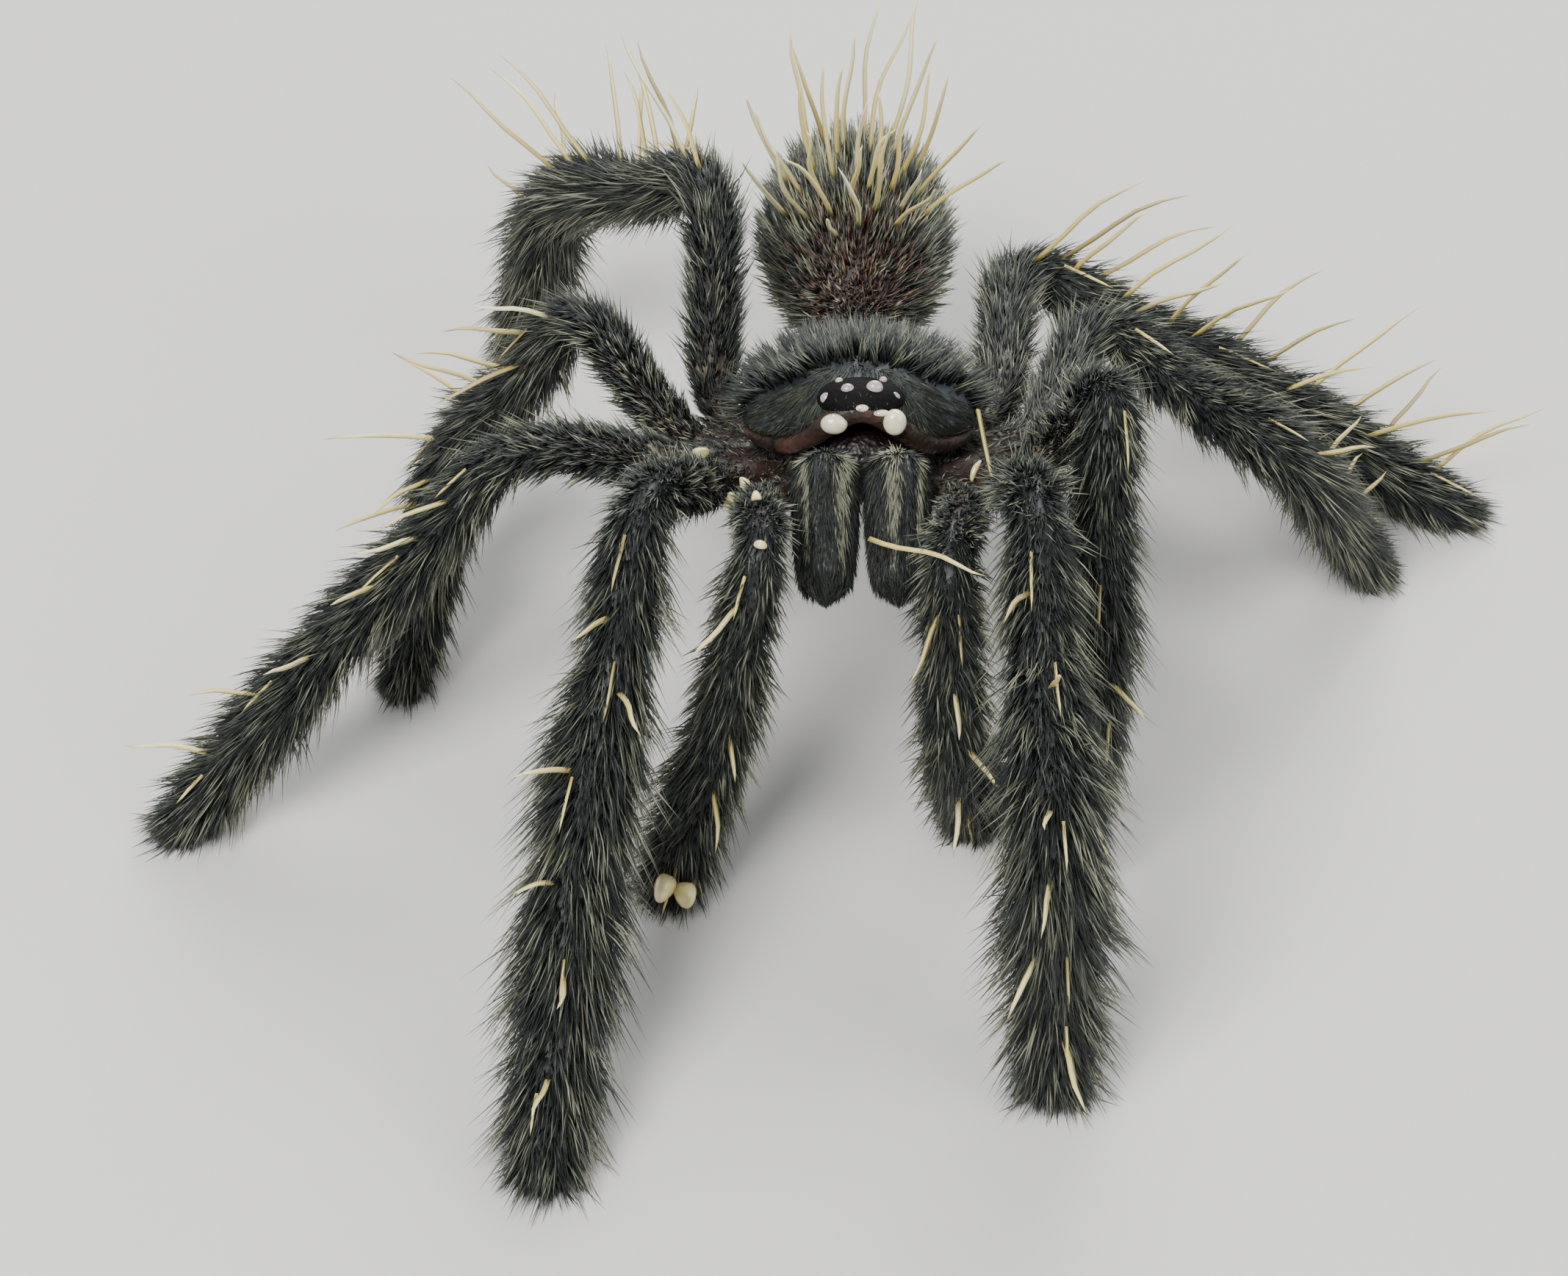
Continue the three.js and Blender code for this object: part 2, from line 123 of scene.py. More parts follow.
def dress(obj, material, slot, *nodes):
    """Gives a finished piece its material and body, and hides the CAD nodes it stands for. Its slot is not
    used.
    """
    obj.data.materials.clear()
    obj.data.materials.append(material)
    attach(obj, "root")
    if nodes:
        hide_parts(*nodes)
    return obj


def cuticle_grain():
    """Fine leathery grain: Shade varies the colour, Relief feeds a bump."""
    group = bpy.data.node_groups.new("cuticle grain", "ShaderNodeTree")
    group.interface.new_socket("Place", in_out="INPUT", socket_type="NodeSocketVector")
    group.interface.new_socket("Size", in_out="INPUT", socket_type="NodeSocketFloat")
    group.interface.new_socket("Shade", in_out="OUTPUT", socket_type="NodeSocketFloat")
    group.interface.new_socket("Relief", in_out="OUTPUT", socket_type="NodeSocketFloat")
    nodes, links = group.nodes, group.links
    inside, outside = nodes.new("NodeGroupInput"), nodes.new("NodeGroupOutput")
    cloudy = nodes.new("ShaderNodeTexNoise")
    cloudy.inputs["Detail"].default_value = 4
    fine = nodes.new("ShaderNodeTexVoronoi")
    finer = nodes.new("ShaderNodeMath")
    finer.operation = "MULTIPLY"
    finer.inputs[1].default_value = 5
    blend = nodes.new("ShaderNodeMath")
    blend.operation = "MULTIPLY_ADD"
    blend.inputs[1].default_value = 0.5
    links.new(inside.outputs["Place"], cloudy.inputs["Vector"])
    links.new(inside.outputs["Place"], fine.inputs["Vector"])
    links.new(inside.outputs["Size"], cloudy.inputs["Scale"])
    links.new(inside.outputs["Size"], finer.inputs[0])
    links.new(finer.outputs[0], fine.inputs["Scale"])
    links.new(fine.outputs["Distance"], blend.inputs[0])
    links.new(cloudy.outputs["Fac"], blend.inputs[2])
    links.new(cloudy.outputs["Fac"], outside.inputs["Shade"])
    links.new(blend.outputs[0], outside.inputs["Relief"])
    return group


GRAIN = cuticle_grain()


def cuticle(name, dark, light, roughness=0.4, size=900, relief=0.00004):
    """Horny skin: two close colours in cloudy patches, with a fine grain."""
    made = bpy.data.materials.new(name)
    made.use_nodes = True
    nodes, links = made.node_tree.nodes, made.node_tree.links
    shader = nodes["Principled BSDF"]
    where = nodes.new("ShaderNodeTexCoord")
    grain = nodes.new("ShaderNodeGroup")
    grain.node_tree = GRAIN
    grain.inputs["Size"].default_value = size
    colours = nodes.new("ShaderNodeValToRGB")
    colours.color_ramp.elements[0].position, colours.color_ramp.elements[0].color = 0.35, (*dark, 1)
    colours.color_ramp.elements[1].position, colours.color_ramp.elements[1].color = 0.65, (*light, 1)
    gloss = nodes.new("ShaderNodeMapRange")
    gloss.inputs["To Min"].default_value = roughness - 0.1
    gloss.inputs["To Max"].default_value = roughness + 0.1
    bump = nodes.new("ShaderNodeBump")
    bump.inputs["Distance"].default_value = relief
    links.new(where.outputs["Object"], grain.inputs["Place"])
    links.new(grain.outputs["Shade"], colours.inputs["Fac"])
    links.new(grain.outputs["Shade"], gloss.inputs["Value"])
    links.new(grain.outputs["Relief"], bump.inputs["Height"])
    links.new(colours.outputs["Color"], shader.inputs["Base Color"])
    links.new(gloss.outputs["Result"], shader.inputs["Roughness"])
    links.new(bump.outputs["Normal"], shader.inputs["Normal"])
    return made


FUR_MAP = "OFBake"  # the map of every hairy piece: across it the hair's tone, up it from root to tip
TONES = 64  # the tones that a hair can have, each a column of the map
# Tones from 0 to 1, with the colour of the hair's root and of its tip.
FUR_TONES = [
    (0.00, (0.001, 0.002, 0.002), (0.007, 0.008, 0.009)),
    (0.20, (0.003, 0.004, 0.004), (0.020, 0.026, 0.027)),
    (0.40, (0.005, 0.007, 0.007), (0.056, 0.068, 0.060)),
    (0.55, (0.014, 0.017, 0.012), (0.215, 0.225, 0.140)),
    (0.66, (0.060, 0.064, 0.044), (0.520, 0.520, 0.360)),
    (0.70, (0.010, 0.005, 0.004), (0.050, 0.025, 0.018)),
    (0.76, (0.018, 0.009, 0.007), (0.150, 0.080, 0.058)),
    (0.80, (0.140, 0.095, 0.035), (0.500, 0.380, 0.160)),
    (0.90, (0.640, 0.500, 0.150), (0.920, 0.800, 0.340)),
    (1.00, (0.640, 0.580, 0.300), (0.930, 0.900, 0.620)),
]
BLACK, SLATE, GREY, PALE, RUSTY, TAN, STRAW, CREAM = 0.04, 0.3, 0.5, 0.63, 0.73, 0.82, 0.9, 0.99
DARKEST, PALEST = 0.02, PALE + 0.02  # the limits of the grey tones


def setae():
    """Hair and bristles: the tone picks the colour, which pales from the root to the tip."""
    made = bpy.data.materials.new("setae")
    made.use_nodes = True
    nodes, links = made.node_tree.nodes, made.node_tree.links
    shader = nodes["Principled BSDF"]
    where = nodes.new("ShaderNodeUVMap")
    where.uv_map = FUR_MAP
    parts = nodes.new("ShaderNodeSeparateXYZ")
    links.new(where.outputs["UV"], parts.inputs["Vector"])
    ramps = []
    for which in (1, 2):
        ramp = nodes.new("ShaderNodeValToRGB")
        for index, tone in enumerate(FUR_TONES):
            stops = ramp.color_ramp.elements
            stop = stops[index] if index < 1 else stops[-1] if tone[0] == 1 else stops.new(tone[0])
            stop.position, stop.color = tone[0], (*tone[which], 1)
        links.new(parts.outputs["X"], ramp.inputs["Fac"])
        ramps.append(ramp)
    mix = nodes.new("ShaderNodeMix")
    mix.data_type = "RGBA"
    links.new(parts.outputs["Y"], mix.inputs["Factor"])
    links.new(ramps[0].outputs["Color"], mix.inputs["A"])
    links.new(ramps[1].outputs["Color"], mix.inputs["B"])
    links.new(mix.outputs["Result"], shader.inputs["Base Color"])
    gloss = nodes.new("ShaderNodeMapRange")
    gloss.inputs["To Min"].default_value, gloss.inputs["To Max"].default_value = 0.55, 0.35
    links.new(parts.outputs["X"], gloss.inputs["Value"])
    links.new(gloss.outputs["Result"], shader.inputs["Roughness"])
    return made


SETAE = setae()


def unit(vectors):
    return vectors / np.maximum(np.linalg.norm(vectors, axis=-1, keepdims=True), 1e-12)


COLUMN_EDGE, ROW_EDGE = 0.15, 0.02  # shares of a column and of the map's height that stay clear at each edge
SWAY = 7  # how fast a wavy hair sways along its length, in radians


class Coat:
    """The hairs of one piece. Each is a closed three-sided spike of one or more rings, thinned to a point."""

    def __init__(self, seed):
        self.random = np.random.default_rng(seed)
        self.points, self.faces, self.map, self.size = [], [], [], 0

    def add(self, roots, ways, lengths, thick, tones, curl=None, bend=0.0, rings=1, wave=0.0, taper=2):
        """`curl` is the way in which the hair bends as it goes out, by `bend` times its length at the tip.
        `wave` sways it sideways, by a share of its length, and a high `taper` keeps it thick for longer."""
        count = len(roots)
        if not count:
            return
        ways = unit(ways)
        curl = ways * 0 if curl is None else np.broadcast_to(curl, ways.shape)
        lengths, thick = (np.broadcast_to(np.asarray(v, float), (count,))[:, None] for v in (lengths, thick))
        side = unit(np.cross(ways, unit(self.random.normal(size=(count, 3)))))
        over = np.cross(ways, side)
        phase = self.random.uniform(0, math.tau, (count, 1))
        spots = np.empty((count, 3 * rings + 1, 3))
        for ring in range(rings + 1):
            s = ring / rings
            middle = roots + ways * lengths * s + curl * lengths * bend * s**2
            middle = middle + side * lengths * wave * (np.sin(phase + SWAY * s) - np.sin(phase)) * s
            if ring == rings:
                spots[:, -1] = middle
                continue
            for corner in range(3):
                turn = corner * math.tau / 3
                spoke = math.cos(turn) * side + math.sin(turn) * over
                spots[:, 3 * ring + corner] = middle + spoke * thick * (1 - s**taper)
        spots[..., 2] = np.maximum(spots[..., 2], 0)
        faces, places = [(2, 1, 0)], [(2, 0.02, 0), (1, 0, 0), (0, 0, 0)]  # the base, a sliver of the map
        for ring in range(rings):
            low, high = ring / rings, (ring + 1) / rings
            for corner in range(3):
                a, b = 3 * ring + corner, 3 * ring + (corner + 1) % 3
                if ring == rings - 1:
                    faces.append((a, b, 3 * rings))
                    places += [(corner, low, 0), (corner + 1, low, 0), (corner + 0.5, high, 0)]
                else:
                    faces += [(a, b, b + 3), (a, b + 3, a + 3)]
                    places += [(corner, low, 0), (corner + 1, low, 0), (corner + 1, high, 0)]
                    places += [(corner, low, 0), (corner + 1, high, 0), (corner, high, 0)]
        faces, places = np.array(faces), np.array(places)
        starts = self.size + np.arange(count) * (3 * rings + 1)
        columns = np.minimum(np.floor(np.maximum(tones, DARKEST) * TONES), TONES - 1) * np.ones(count)
        across = (columns[:, None] + COLUMN_EDGE + (1 - 2 * COLUMN_EDGE) * places[None, :, 0] / 3) / TONES
        up = np.broadcast_to(ROW_EDGE + (1 - 2 * ROW_EDGE) * places[None, :, 1], across.shape)
        self.points.append(spots.reshape(-1, 3))
        self.faces.append((faces[None] + starts[:, None, None]).reshape(-1, 3))
        self.map.append(np.stack([across, up], -1).reshape(-1, 2))
        self.size += count * (3 * rings + 1)

    def straws(self, count, tone):
        """Tones of stiff straw bristles, each a little different."""
        return np.clip(tone + 0.04 * self.random.normal(size=count), TAN, CREAM - 0.01)

    def piece(self, name, slot, *nodes):
        """Makes the gathered hairs one mesh."""
        points, faces, places = (np.concatenate(x) for x in (self.points, self.faces, self.map))
        mesh = bpy.data.meshes.new(name)
        mesh.vertices.add(len(points))
        mesh.vertices.foreach_set("co", points.ravel())
        mesh.loops.add(faces.size)
        mesh.loops.foreach_set("vertex_index", faces.ravel().astype(np.int32))
        mesh.polygons.add(len(faces))
        mesh.polygons.foreach_set("loop_start", np.arange(0, faces.size, 3, dtype=np.int32))
        mesh.polygons.foreach_set("use_smooth", np.ones(len(faces), bool))
        mesh.update(calc_edges=True)
        mesh.uv_layers.new(name=FUR_MAP).uv.foreach_set("vector", places.ravel())
        obj = bpy.data.objects.new(name, mesh)
        bpy.context.scene.collection.objects.link(obj)
        return dress(obj, SETAE, slot, *nodes)


ROOT_DEPTH = 0.03 * MM  # how far a hair's root is sunk into the skin


def roots_on(obj, count, random):
    """Places spread evenly over a skin, sunk a little into it, with the normals there."""
    mesh = obj.data
    mesh.calc_loop_triangles()
    corners = np.empty(3 * len(mesh.loop_triangles), np.int32)
    mesh.loop_triangles.foreach_get("vertices", corners)
    points = points_of(obj)
    normals = np.empty(3 * len(points))
    mesh.vertices.foreach_get("normal", normals)
    order = np.lexsort(points.T)  # sorted by place, because edit mode may number them differently each time
    points, normals = points[order], normals.reshape(-1, 3)[order]
    corners = np.sort(np.argsort(order)[corners.reshape(-1, 3)], axis=1)
    corners = corners[np.lexsort(corners.T)]
    a, b, c = (points[corners[:, i]] for i in range(3))
    area = np.linalg.norm(np.cross(b - a, c - a), axis=1)
    chosen = corners[random.choice(len(area), count, p=area / area.sum())]
    share = random.dirichlet((1, 1, 1), count)[..., None]
    outward = unit((normals[chosen] * share).sum(1))
    return (points[chosen] * share).sum(1) - outward * ROOT_DEPTH, outward


def clumps(places, size):
    """A number from about -1 to 1 that changes smoothly over a few times `size`, for locks of like hair."""
    x, y, z = (places / size).T
    blots = np.sin(1.3 * x + 2.1 * y + 0.7) * np.sin(1.9 * z - 1.1 * y + 1.3)
    return (blots + np.sin(2.7 * x - 1.7 * z + 2.1 * y)) / 2


def nearest_of(places, targets):
    """For each place, the number of the nearest target. It goes part by part, to save memory."""
    parts = np.array_split(places, 24)
    return np.concatenate([((part[:, None] - targets) ** 2).sum(-1).argmin(1) for part in parts])


def in_locks(roots, ways, lengths, random, size, pull):
    """Draws the hairs of each lock, of about `size` hairs, towards the tip of one of them.

    Gives their new ways, and a shade from -1 to 1 for each lock."""
    count = max(2, int(len(roots) / size))
    heads = random.choice(len(roots), count, replace=False)
    nearest = nearest_of(roots, roots[heads])
    ways = unit(ways)
    head = heads[nearest]
    tips = roots[head] + ways[head] * np.asarray(lengths)[head, None]
    return ways * (1 - pull) + unit(tips - roots) * pull, random.uniform(-1, 1, count)[nearest]


# Height, middle ahead, length and width, the last three as shares of the carapace's half size.
ARCH = (2.0 * MM, 1, 0.45, 0.62)  # of the front edge over the jaws
HEAD = (HEAD_RISE, 0.55, 0.4, 0.55)
PIT = (0.35 * MM, -0.15, 0.12, 0.14)  # behind the head
LOBES, LOBE_ASIDE = (0.4 * MM, 0.68, 0.24, 0.34), 0.58  # the two swellings beside the head
NARROW_FROM, NARROWER = 0.1, 0.2  # where the carapace starts to narrow towards the face, and by how much
RIM_BELOW = 0.3 * MM  # how far the shield's rim bulges downwards


def swelling(x, ahead, height, middle, length, width):
    return height * np.exp(-(((ahead - middle) / length) ** 2) - (x / width) ** 2)


def arch(x, ahead):
    """The front edge's rise, at shares of the carapace's half width and half length."""
    return swelling(x, ahead, *ARCH)


def narrowed(ahead):
    """The width of the carapace as a share, less towards the face."""
    t = np.clip((ahead - NARROW_FROM) / (1 - NARROW_FROM), 0, 1)
    return 1 - NARROWER * t * t * (3 - 2 * t)


carapace_skin = cuticle("carapace shell", (0.010, 0.013, 0.015), (0.034, 0.044, 0.047), 0.5, 600)
NAP_ROOM = 0.95  # the shell's size within its solid, which leaves room for the nap
carapace = ball("carapace_shell", 72, 48)
x, y, z = points_of(carapace).T
head, pit, lobes = swelling(x, -y, *HEAD), swelling(x, -y, *PIT), swelling(np.abs(x) - LOBE_ASIDE, -y, *LOBES)
crown = CARAPACE_HEIGHT + head - pit - arch(x, -y) + lobes
reshape(
    carapace,
    on_body(
        NAP_ROOM * x * narrowed(-y) * CARAPACE_WIDTH / 2,
        NAP_ROOM * -y * CARAPACE_LENGTH / 2,
        CARAPACE_UNDERSIDE + arch(x, -y) + NAP_ROOM * z * np.where(z > 0, crown, RIM_BELOW),
    ),
)
smooth_over(carapace)
dress(carapace, carapace_skin, "shell", "carapace")

# The nap lies flat on the two swellings beside the head, and away from the middle. Behind them it is
# grey-green wool, and the line between the two is bare and dark.
nap = Coat(11)
NAP_HAIRS, NAP_LENGTHS, NAP_THICK = 16000, (0.45, 0.9), 0.022 * MM
WOOL_HAIRS, WOOL_LENGTHS, WOOL_THICK = 7500, (0.6, 1.25), 0.036 * MM
WOOL_EDGE, WOOL_SIDE = 2.5 * MM, 2.3 * MM  # how far ahead the wool reaches, and how much less at the sides
WOOL_RAGGED, RAG_SIZE = 0.25 * MM, 0.35 * MM  # how uneven its edge is
BARE_LINE = 0.12 * MM  # between wool and nap
COMBED_FROM = on_body(0, 1.9 * MM, 1.6 * MM)  # the hair lies away from here
for count, woolly in ((NAP_HAIRS, False), (WOOL_HAIRS, True)):
    roots, outward = roots_on(carapace, count, nap.random)
    local = roots - np.array(BODY_MIDDLE)
    past = local @ np.array(FORWARD) - WOOL_EDGE + WOOL_SIDE * (2 * local[:, 0] / CARAPACE_WIDTH) ** 2
    past = past + WOOL_RAGGED * clumps(roots, RAG_SIZE)
    keep = (outward @ np.array(UPWARD) > -0.25) & ((past < 0) if woolly else (past > BARE_LINE))
    roots, outward = roots[keep], outward[keep]
    away = unit(roots - COMBED_FROM)
    mess = nap.random.normal(size=roots.shape)
    if woolly:
        ways = away * 0.3 + outward * 0.8 + mess * 0.35
        lengths = nap.random.uniform(*WOOL_LENGTHS, len(roots)) * MM
        ways, shade = in_locks(roots, ways, lengths, nap.random, 8, 0.55)
        tones = GREY - 0.1 + 0.12 * shade + 0.06 * nap.random.normal(size=len(roots))
        nap.add(roots, ways, lengths, WOOL_THICK, np.minimum(tones, PALEST), away, 0.2, rings=2, wave=0.06)
    else:
        ways = away - outward * ((away * outward).sum(1) - 0.1)[:, None] + mess * 0.05
        lengths = nap.random.uniform(*NAP_LENGTHS, len(roots)) * MM
        ways, shade = in_locks(roots, ways, lengths, nap.random, 10, 0.3)
        tones = SLATE + 0.15 + 0.04 * shade + 0.06 * clumps(roots, 0.5 * MM)
        tones = tones + 0.04 * nap.random.normal(size=len(roots))
        nap.add(roots, ways, lengths, NAP_THICK, np.minimum(tones, PALE), -outward, 0.06)
nap.piece("carapace_nap", "fur")

# ------------------------------------------------------------------------------------------------ eyes
# Eight glassy eyes sit on and round a low black mound at the front edge of the head, with two small cream
# patches among them. The lowest pair is the largest, and shines like cream pearls.
EYES = [  # to the side, forward and up on the front body and the half axes, in mm, and whether it is cream
    ((-0.46, 4.2, 2.87), (0.24, 0.2, 0.22), False),
    ((0.44, 4.2, 2.93), (0.29, 0.22, 0.27), False),
    ((-1.14, 4.1, 2.52), (0.25, 0.2, 0.22), False),
    ((1.02, 4.1, 2.54), (0.3, 0.2, 0.24), False),
    ((-0.74, 3.6, 2.98), (0.14, 0.14, 0.12), False),
    ((0.74, 3.6, 3.02), (0.14, 0.14, 0.12), False),
    ((0.02, 4.74, 2.4), (0.22, 0.1, 0.13), True),
    ((0.66, 4.66, 2.2), (0.3, 0.14, 0.12), True),
    ((-0.92, 4.62, 1.8), (0.46, 0.3, 0.36), True),
    ((1.12, 4.62, 1.86), (0.4, 0.3, 0.46), True),
]
MOUND_WIDTH, MOUND_LENGTH, MOUND_RISE = 3.0 * MM, 2.1 * MM, 0.68 * MM
MOUND_AHEAD, MOUND_ABOVE = 3.72 * MM, 2.4 * MM


def gloss(name, colour, roughness):
    """A polished horny surface with a faint cloudy change of gloss."""
    lighter = tuple(1.6 * c for c in colour)
    made = cuticle(name, colour, lighter, roughness + 0.1, size=1200, relief=0.000004)
    shader = made.node_tree.nodes["Principled BSDF"]
    shader.inputs["Coat Weight"].default_value = 1
    shader.inputs["Coat Roughness"].default_value = 0.05
    return made


eye_black = cuticle("eye mound", (0.001, 0.001, 0.001), (0.003, 0.003, 0.003), 0.75, 1200)
eye_black.node_tree.nodes["Principled BSDF"].inputs["Specular IOR Level"].default_value = 0.15
# The six upper lenses are dark eyes coloured pale pink-grey, which is a painted highlight.
highlight_painted_lens = gloss("lens with painted highlight", (0.30, 0.24, 0.23), 0.1)
cream_lens = gloss("cream lens", (0.56, 0.53, 0.36), 0.12)
mound = ball("eye_mound", 32, 20)
x, y, z = points_of(mound).T
reshape(mound, on_body(x * MOUND_WIDTH / 2, MOUND_AHEAD - y * MOUND_LENGTH / 2, MOUND_ABOVE + z * MOUND_RISE))
smooth_over(mound)
dress(mound, eye_black, "fang")
for is_cream, name, lens_finish in ((False, "eyes_painted_highlight", highlight_painted_lens), (True, "eyes_cream", cream_lens)):
    lenses = []
    for place, half_axes, cream in EYES:
        if cream == is_cream:
            lens = ball("lens", 24, 16)
            x, y, z = (points_of(lens) * np.array(half_axes) * MM).T
            aside, ahead, above = (v * MM for v in place)
            reshape(lens, on_body(aside + x, ahead - y, above + z))
            lenses.append(lens)
    lenses = joined(name, lenses)
    smooth_over(lenses)
    dress(lenses, lens_finish, "fang")

# ------------------------------------------------------------------------------------------------ front body
# Soft dark skin with short hair closes the sides of the front body under the carapace. In front a red-brown
# lip rolls out under the carapace's edge, and the jaws grow out from beneath that lip.
SKIN_WIDTH, SKIN_LENGTH, SKIN_BELOW, SKIN_ABOVE = 7.4 * MM, 8.1 * MM, 1.7 * MM, 0.3 * MM
SIDE_HAIRS, SIDE_LENGTHS, SIDE_THICK = 5200, (0.3, 0.8), 0.026 * MM
LIP_RADIUS, LIP_BELOW, LIP_INSET, LIP_SPREAD = 0.42 * MM, 0.36 * MM, 0.93, math.radians(84)
red_brown = cuticle("red-brown skin", (0.010, 0.005, 0.004), (0.060, 0.027, 0.018), 0.38, 900, 0.00008)
dark_skin = cuticle("dark skin", (0.003, 0.002, 0.002), (0.022, 0.011, 0.008), 0.42, 1100, 0.0001)


def rod(name, radii, length, sides):
    """A straight rod along +X, drawn out ring by ring from a closed circle."""
    deselect()
    bpy.ops.mesh.primitive_circle_add(
        vertices=sides, radius=radii[0], fill_type="NGON", rotation=(0, math.radians(90), 0)
    )
    made = bpy.context.object
    made.name = name
    bpy.ops.object.transform_apply(location=True, rotation=True, scale=True)
    bpy.ops.object.mode_set(mode="EDIT")
    bpy.ops.mesh.select_all(action="SELECT")
    step = length / (len(radii) - 1)
    for i in range(1, len(radii)):
        bpy.ops.mesh.extrude_region_move(TRANSFORM_OT_translate={"value": (step, 0, 0)})
        grow = radii[i] / radii[i - 1]
        bpy.ops.transform.resize(value=(1, grow, grow), center_override=(i * step, 0, 0))
    bpy.ops.object.mode_set(mode="OBJECT")
    return made


def bend_along(obj, path):
    """Bends a straight rod along a path, as a Curve modifier does, and applies it."""
    route = bpy.data.curves.new("route", "CURVE")
    route.dimensions = "3D"
    spline = route.splines.new("POLY")
    spline.points.add(len(path) - 1)
    for point, place in zip(spline.points, path):
        point.co = (*place, 1)
    guide = bpy.data.objects.new("route", route)
    bpy.context.scene.collection.objects.link(guide)
    bend = obj.modifiers.new("bend", "CURVE")
    bend.object, bend.deform_axis = guide, "POS_X"
    pick(obj)
    bpy.ops.object.modifier_apply(modifier="bend")
    bpy.data.objects.remove(guide)


flesh = ball("front_body_flesh", 56, 28)
x, y, z = points_of(flesh).T
reshape(
    flesh,
    on_body(
        x * narrowed(-y) * SKIN_WIDTH / 2,
        -y * SKIN_LENGTH / 2,
        z * np.where(z > 0, SKIN_ABOVE + arch(x, -y), SKIN_BELOW),
    ),
)
side_hair = Coat(15)
roots, outward = roots_on(flesh, SIDE_HAIRS, side_hair.random)
keep = outward @ np.array(UPWARD) < 0.7  # none where the carapace covers the skin
roots, outward = roots[keep], outward[keep]
ways = outward * 0.7 - np.array(UPWARD) * 0.5 + 0.25 * side_hair.random.normal(size=roots.shape)
lengths = side_hair.random.uniform(*SIDE_LENGTHS, len(roots)) * MM
ways, shade = in_locks(roots, ways, lengths, side_hair.random, 9, 0.6)
tones = SLATE + 0.05 + 0.12 * shade + 0.07 * side_hair.random.normal(size=len(roots))
side_hair.add(roots, ways, lengths, SIDE_THICK, np.minimum(tones, PALE), -np.array(UPWARD), 0.2)
side_hair.piece("front_body_hair", "fur")
turns = np.linspace(-LIP_SPREAD, LIP_SPREAD, 121)
x, ahead = np.sin(turns), np.cos(turns)
lip_line = on_body(
    LIP_INSET * x * narrowed(ahead) * CARAPACE_WIDTH / 2,
    LIP_INSET * ahead * CARAPACE_LENGTH / 2,
    CARAPACE_UNDERSIDE + arch(x, ahead) - LIP_BELOW,
)
lip_run = np.linalg.norm(np.diff(lip_line, axis=0), axis=1).sum()
lip_radii = LIP_RADIUS * (0.25 + 0.75 * np.sin(np.linspace(0.1, math.pi - 0.1, 61)))  # thin at both ends
lip = rod("front_lip", lip_radii, lip_run, 12)
bend_along(lip, lip_line)
for piece, finish in ((flesh, dark_skin), (lip, red_brown)):
    smooth_over(piece)
    dress(piece, finish, "underside")

# ------------------------------------------------------------------------------------------------ sternum
# The breastplate is a domed red-brown plate that closes the front body from below, between the leg bases. It
# has a thin coat of short dark hair.
STERNUM_HALF_WIDTH, STERNUM_HALF_LENGTH = 2.25 * MM, 2.55 * MM
STERNUM_BULGE, STERNUM_BELOW = 1.0 * MM, 1.35 * MM
STERNUM_HAIRS, DOWN_LENGTHS, DOWN_THICK = 2500, (0.3, 0.6), 0.022 * MM
sternum = ball("sternum_plate", 40, 20)
x, y, z = points_of(sternum).T
reshape(
    sternum, on_body(x * STERNUM_HALF_WIDTH, -y * STERNUM_HALF_LENGTH, z * STERNUM_BULGE - STERNUM_BELOW)
)
smooth_over(sternum)
dress(sternum, red_brown, "underside", "sternum")
down = Coat(17)
roots, outward = roots_on(sternum, STERNUM_HAIRS, down.random)
ways = outward * 0.5 - np.array(FORWARD) * 0.7 + 0.15 * down.random.normal(size=roots.shape)
tones = SLATE + 0.08 * down.random.normal(size=len(roots))
lengths = down.random.uniform(*DOWN_LENGTHS, len(roots)) * MM
down.add(roots, ways, lengths, DOWN_THICK, np.minimum(tones, GREY))
down.piece("sternum_hair", "fur")

# ------------------------------------------------------------------------------------------------ pedicel
# A short narrow waist of bare red-brown skin joins the two halves of the body. It is the thinnest part of the
# specimen.
PEDICEL_RADIUS, PEDICEL_HALF_LENGTH = 0.72 * MM, 0.8 * MM
pedicel = ball("pedicel_skin", 20, 14)
x, y, z = points_of(pedicel).T
reshape(
    pedicel,
    on_body(
        x * PEDICEL_RADIUS,
        -PEDICEL_BACK - y * PEDICEL_HALF_LENGTH,
        PEDICEL_ABOVE + z * PEDICEL_RADIUS,
    ),
)
smooth_over(pedicel)
dress(pedicel, red_brown, "underside", "pedicel")

# ------------------------------------------------------------------------------------------------ abdomen
# The soft egg-shaped rear body, clothed in long grey-green hair with a rusty patch at the front, and a crest
# of stiff straw-coloured bristles over the top.
ABDOMEN_LENGTH, ABDOMEN_WIDTH, ABDOMEN_HEIGHT = 9.3 * MM, 7.4 * MM, 6.8 * MM
ABDOMEN_BACK, ABDOMEN_ABOVE_BODY, ABDOMEN_TILT = 10.95 * MM, -1.0 * MM, math.radians(8)
EGG_BACK = np.array((0, math.cos(ABDOMEN_TILT), math.sin(ABDOMEN_TILT)))
EGG_UP = np.array((0, -math.sin(ABDOMEN_TILT), math.cos(ABDOMEN_TILT)))
EGG_MIDDLE = np.array(BODY_MIDDLE) + np.array((0, ABDOMEN_BACK, ABDOMEN_ABOVE_BODY))


def on_abdomen(aside, backwards, above):
    place = np.multiply.outer(backwards, EGG_BACK) + np.multiply.outer(above, EGG_UP) + EGG_MIDDLE
    place[..., 0] += aside
    return place


def scatter_of(k):
    """A number from 0 to 1 that looks random and is the same each time for the same k."""
    s = math.sin(k * 12.9898) * 43758.5453
    return s - math.floor(s)


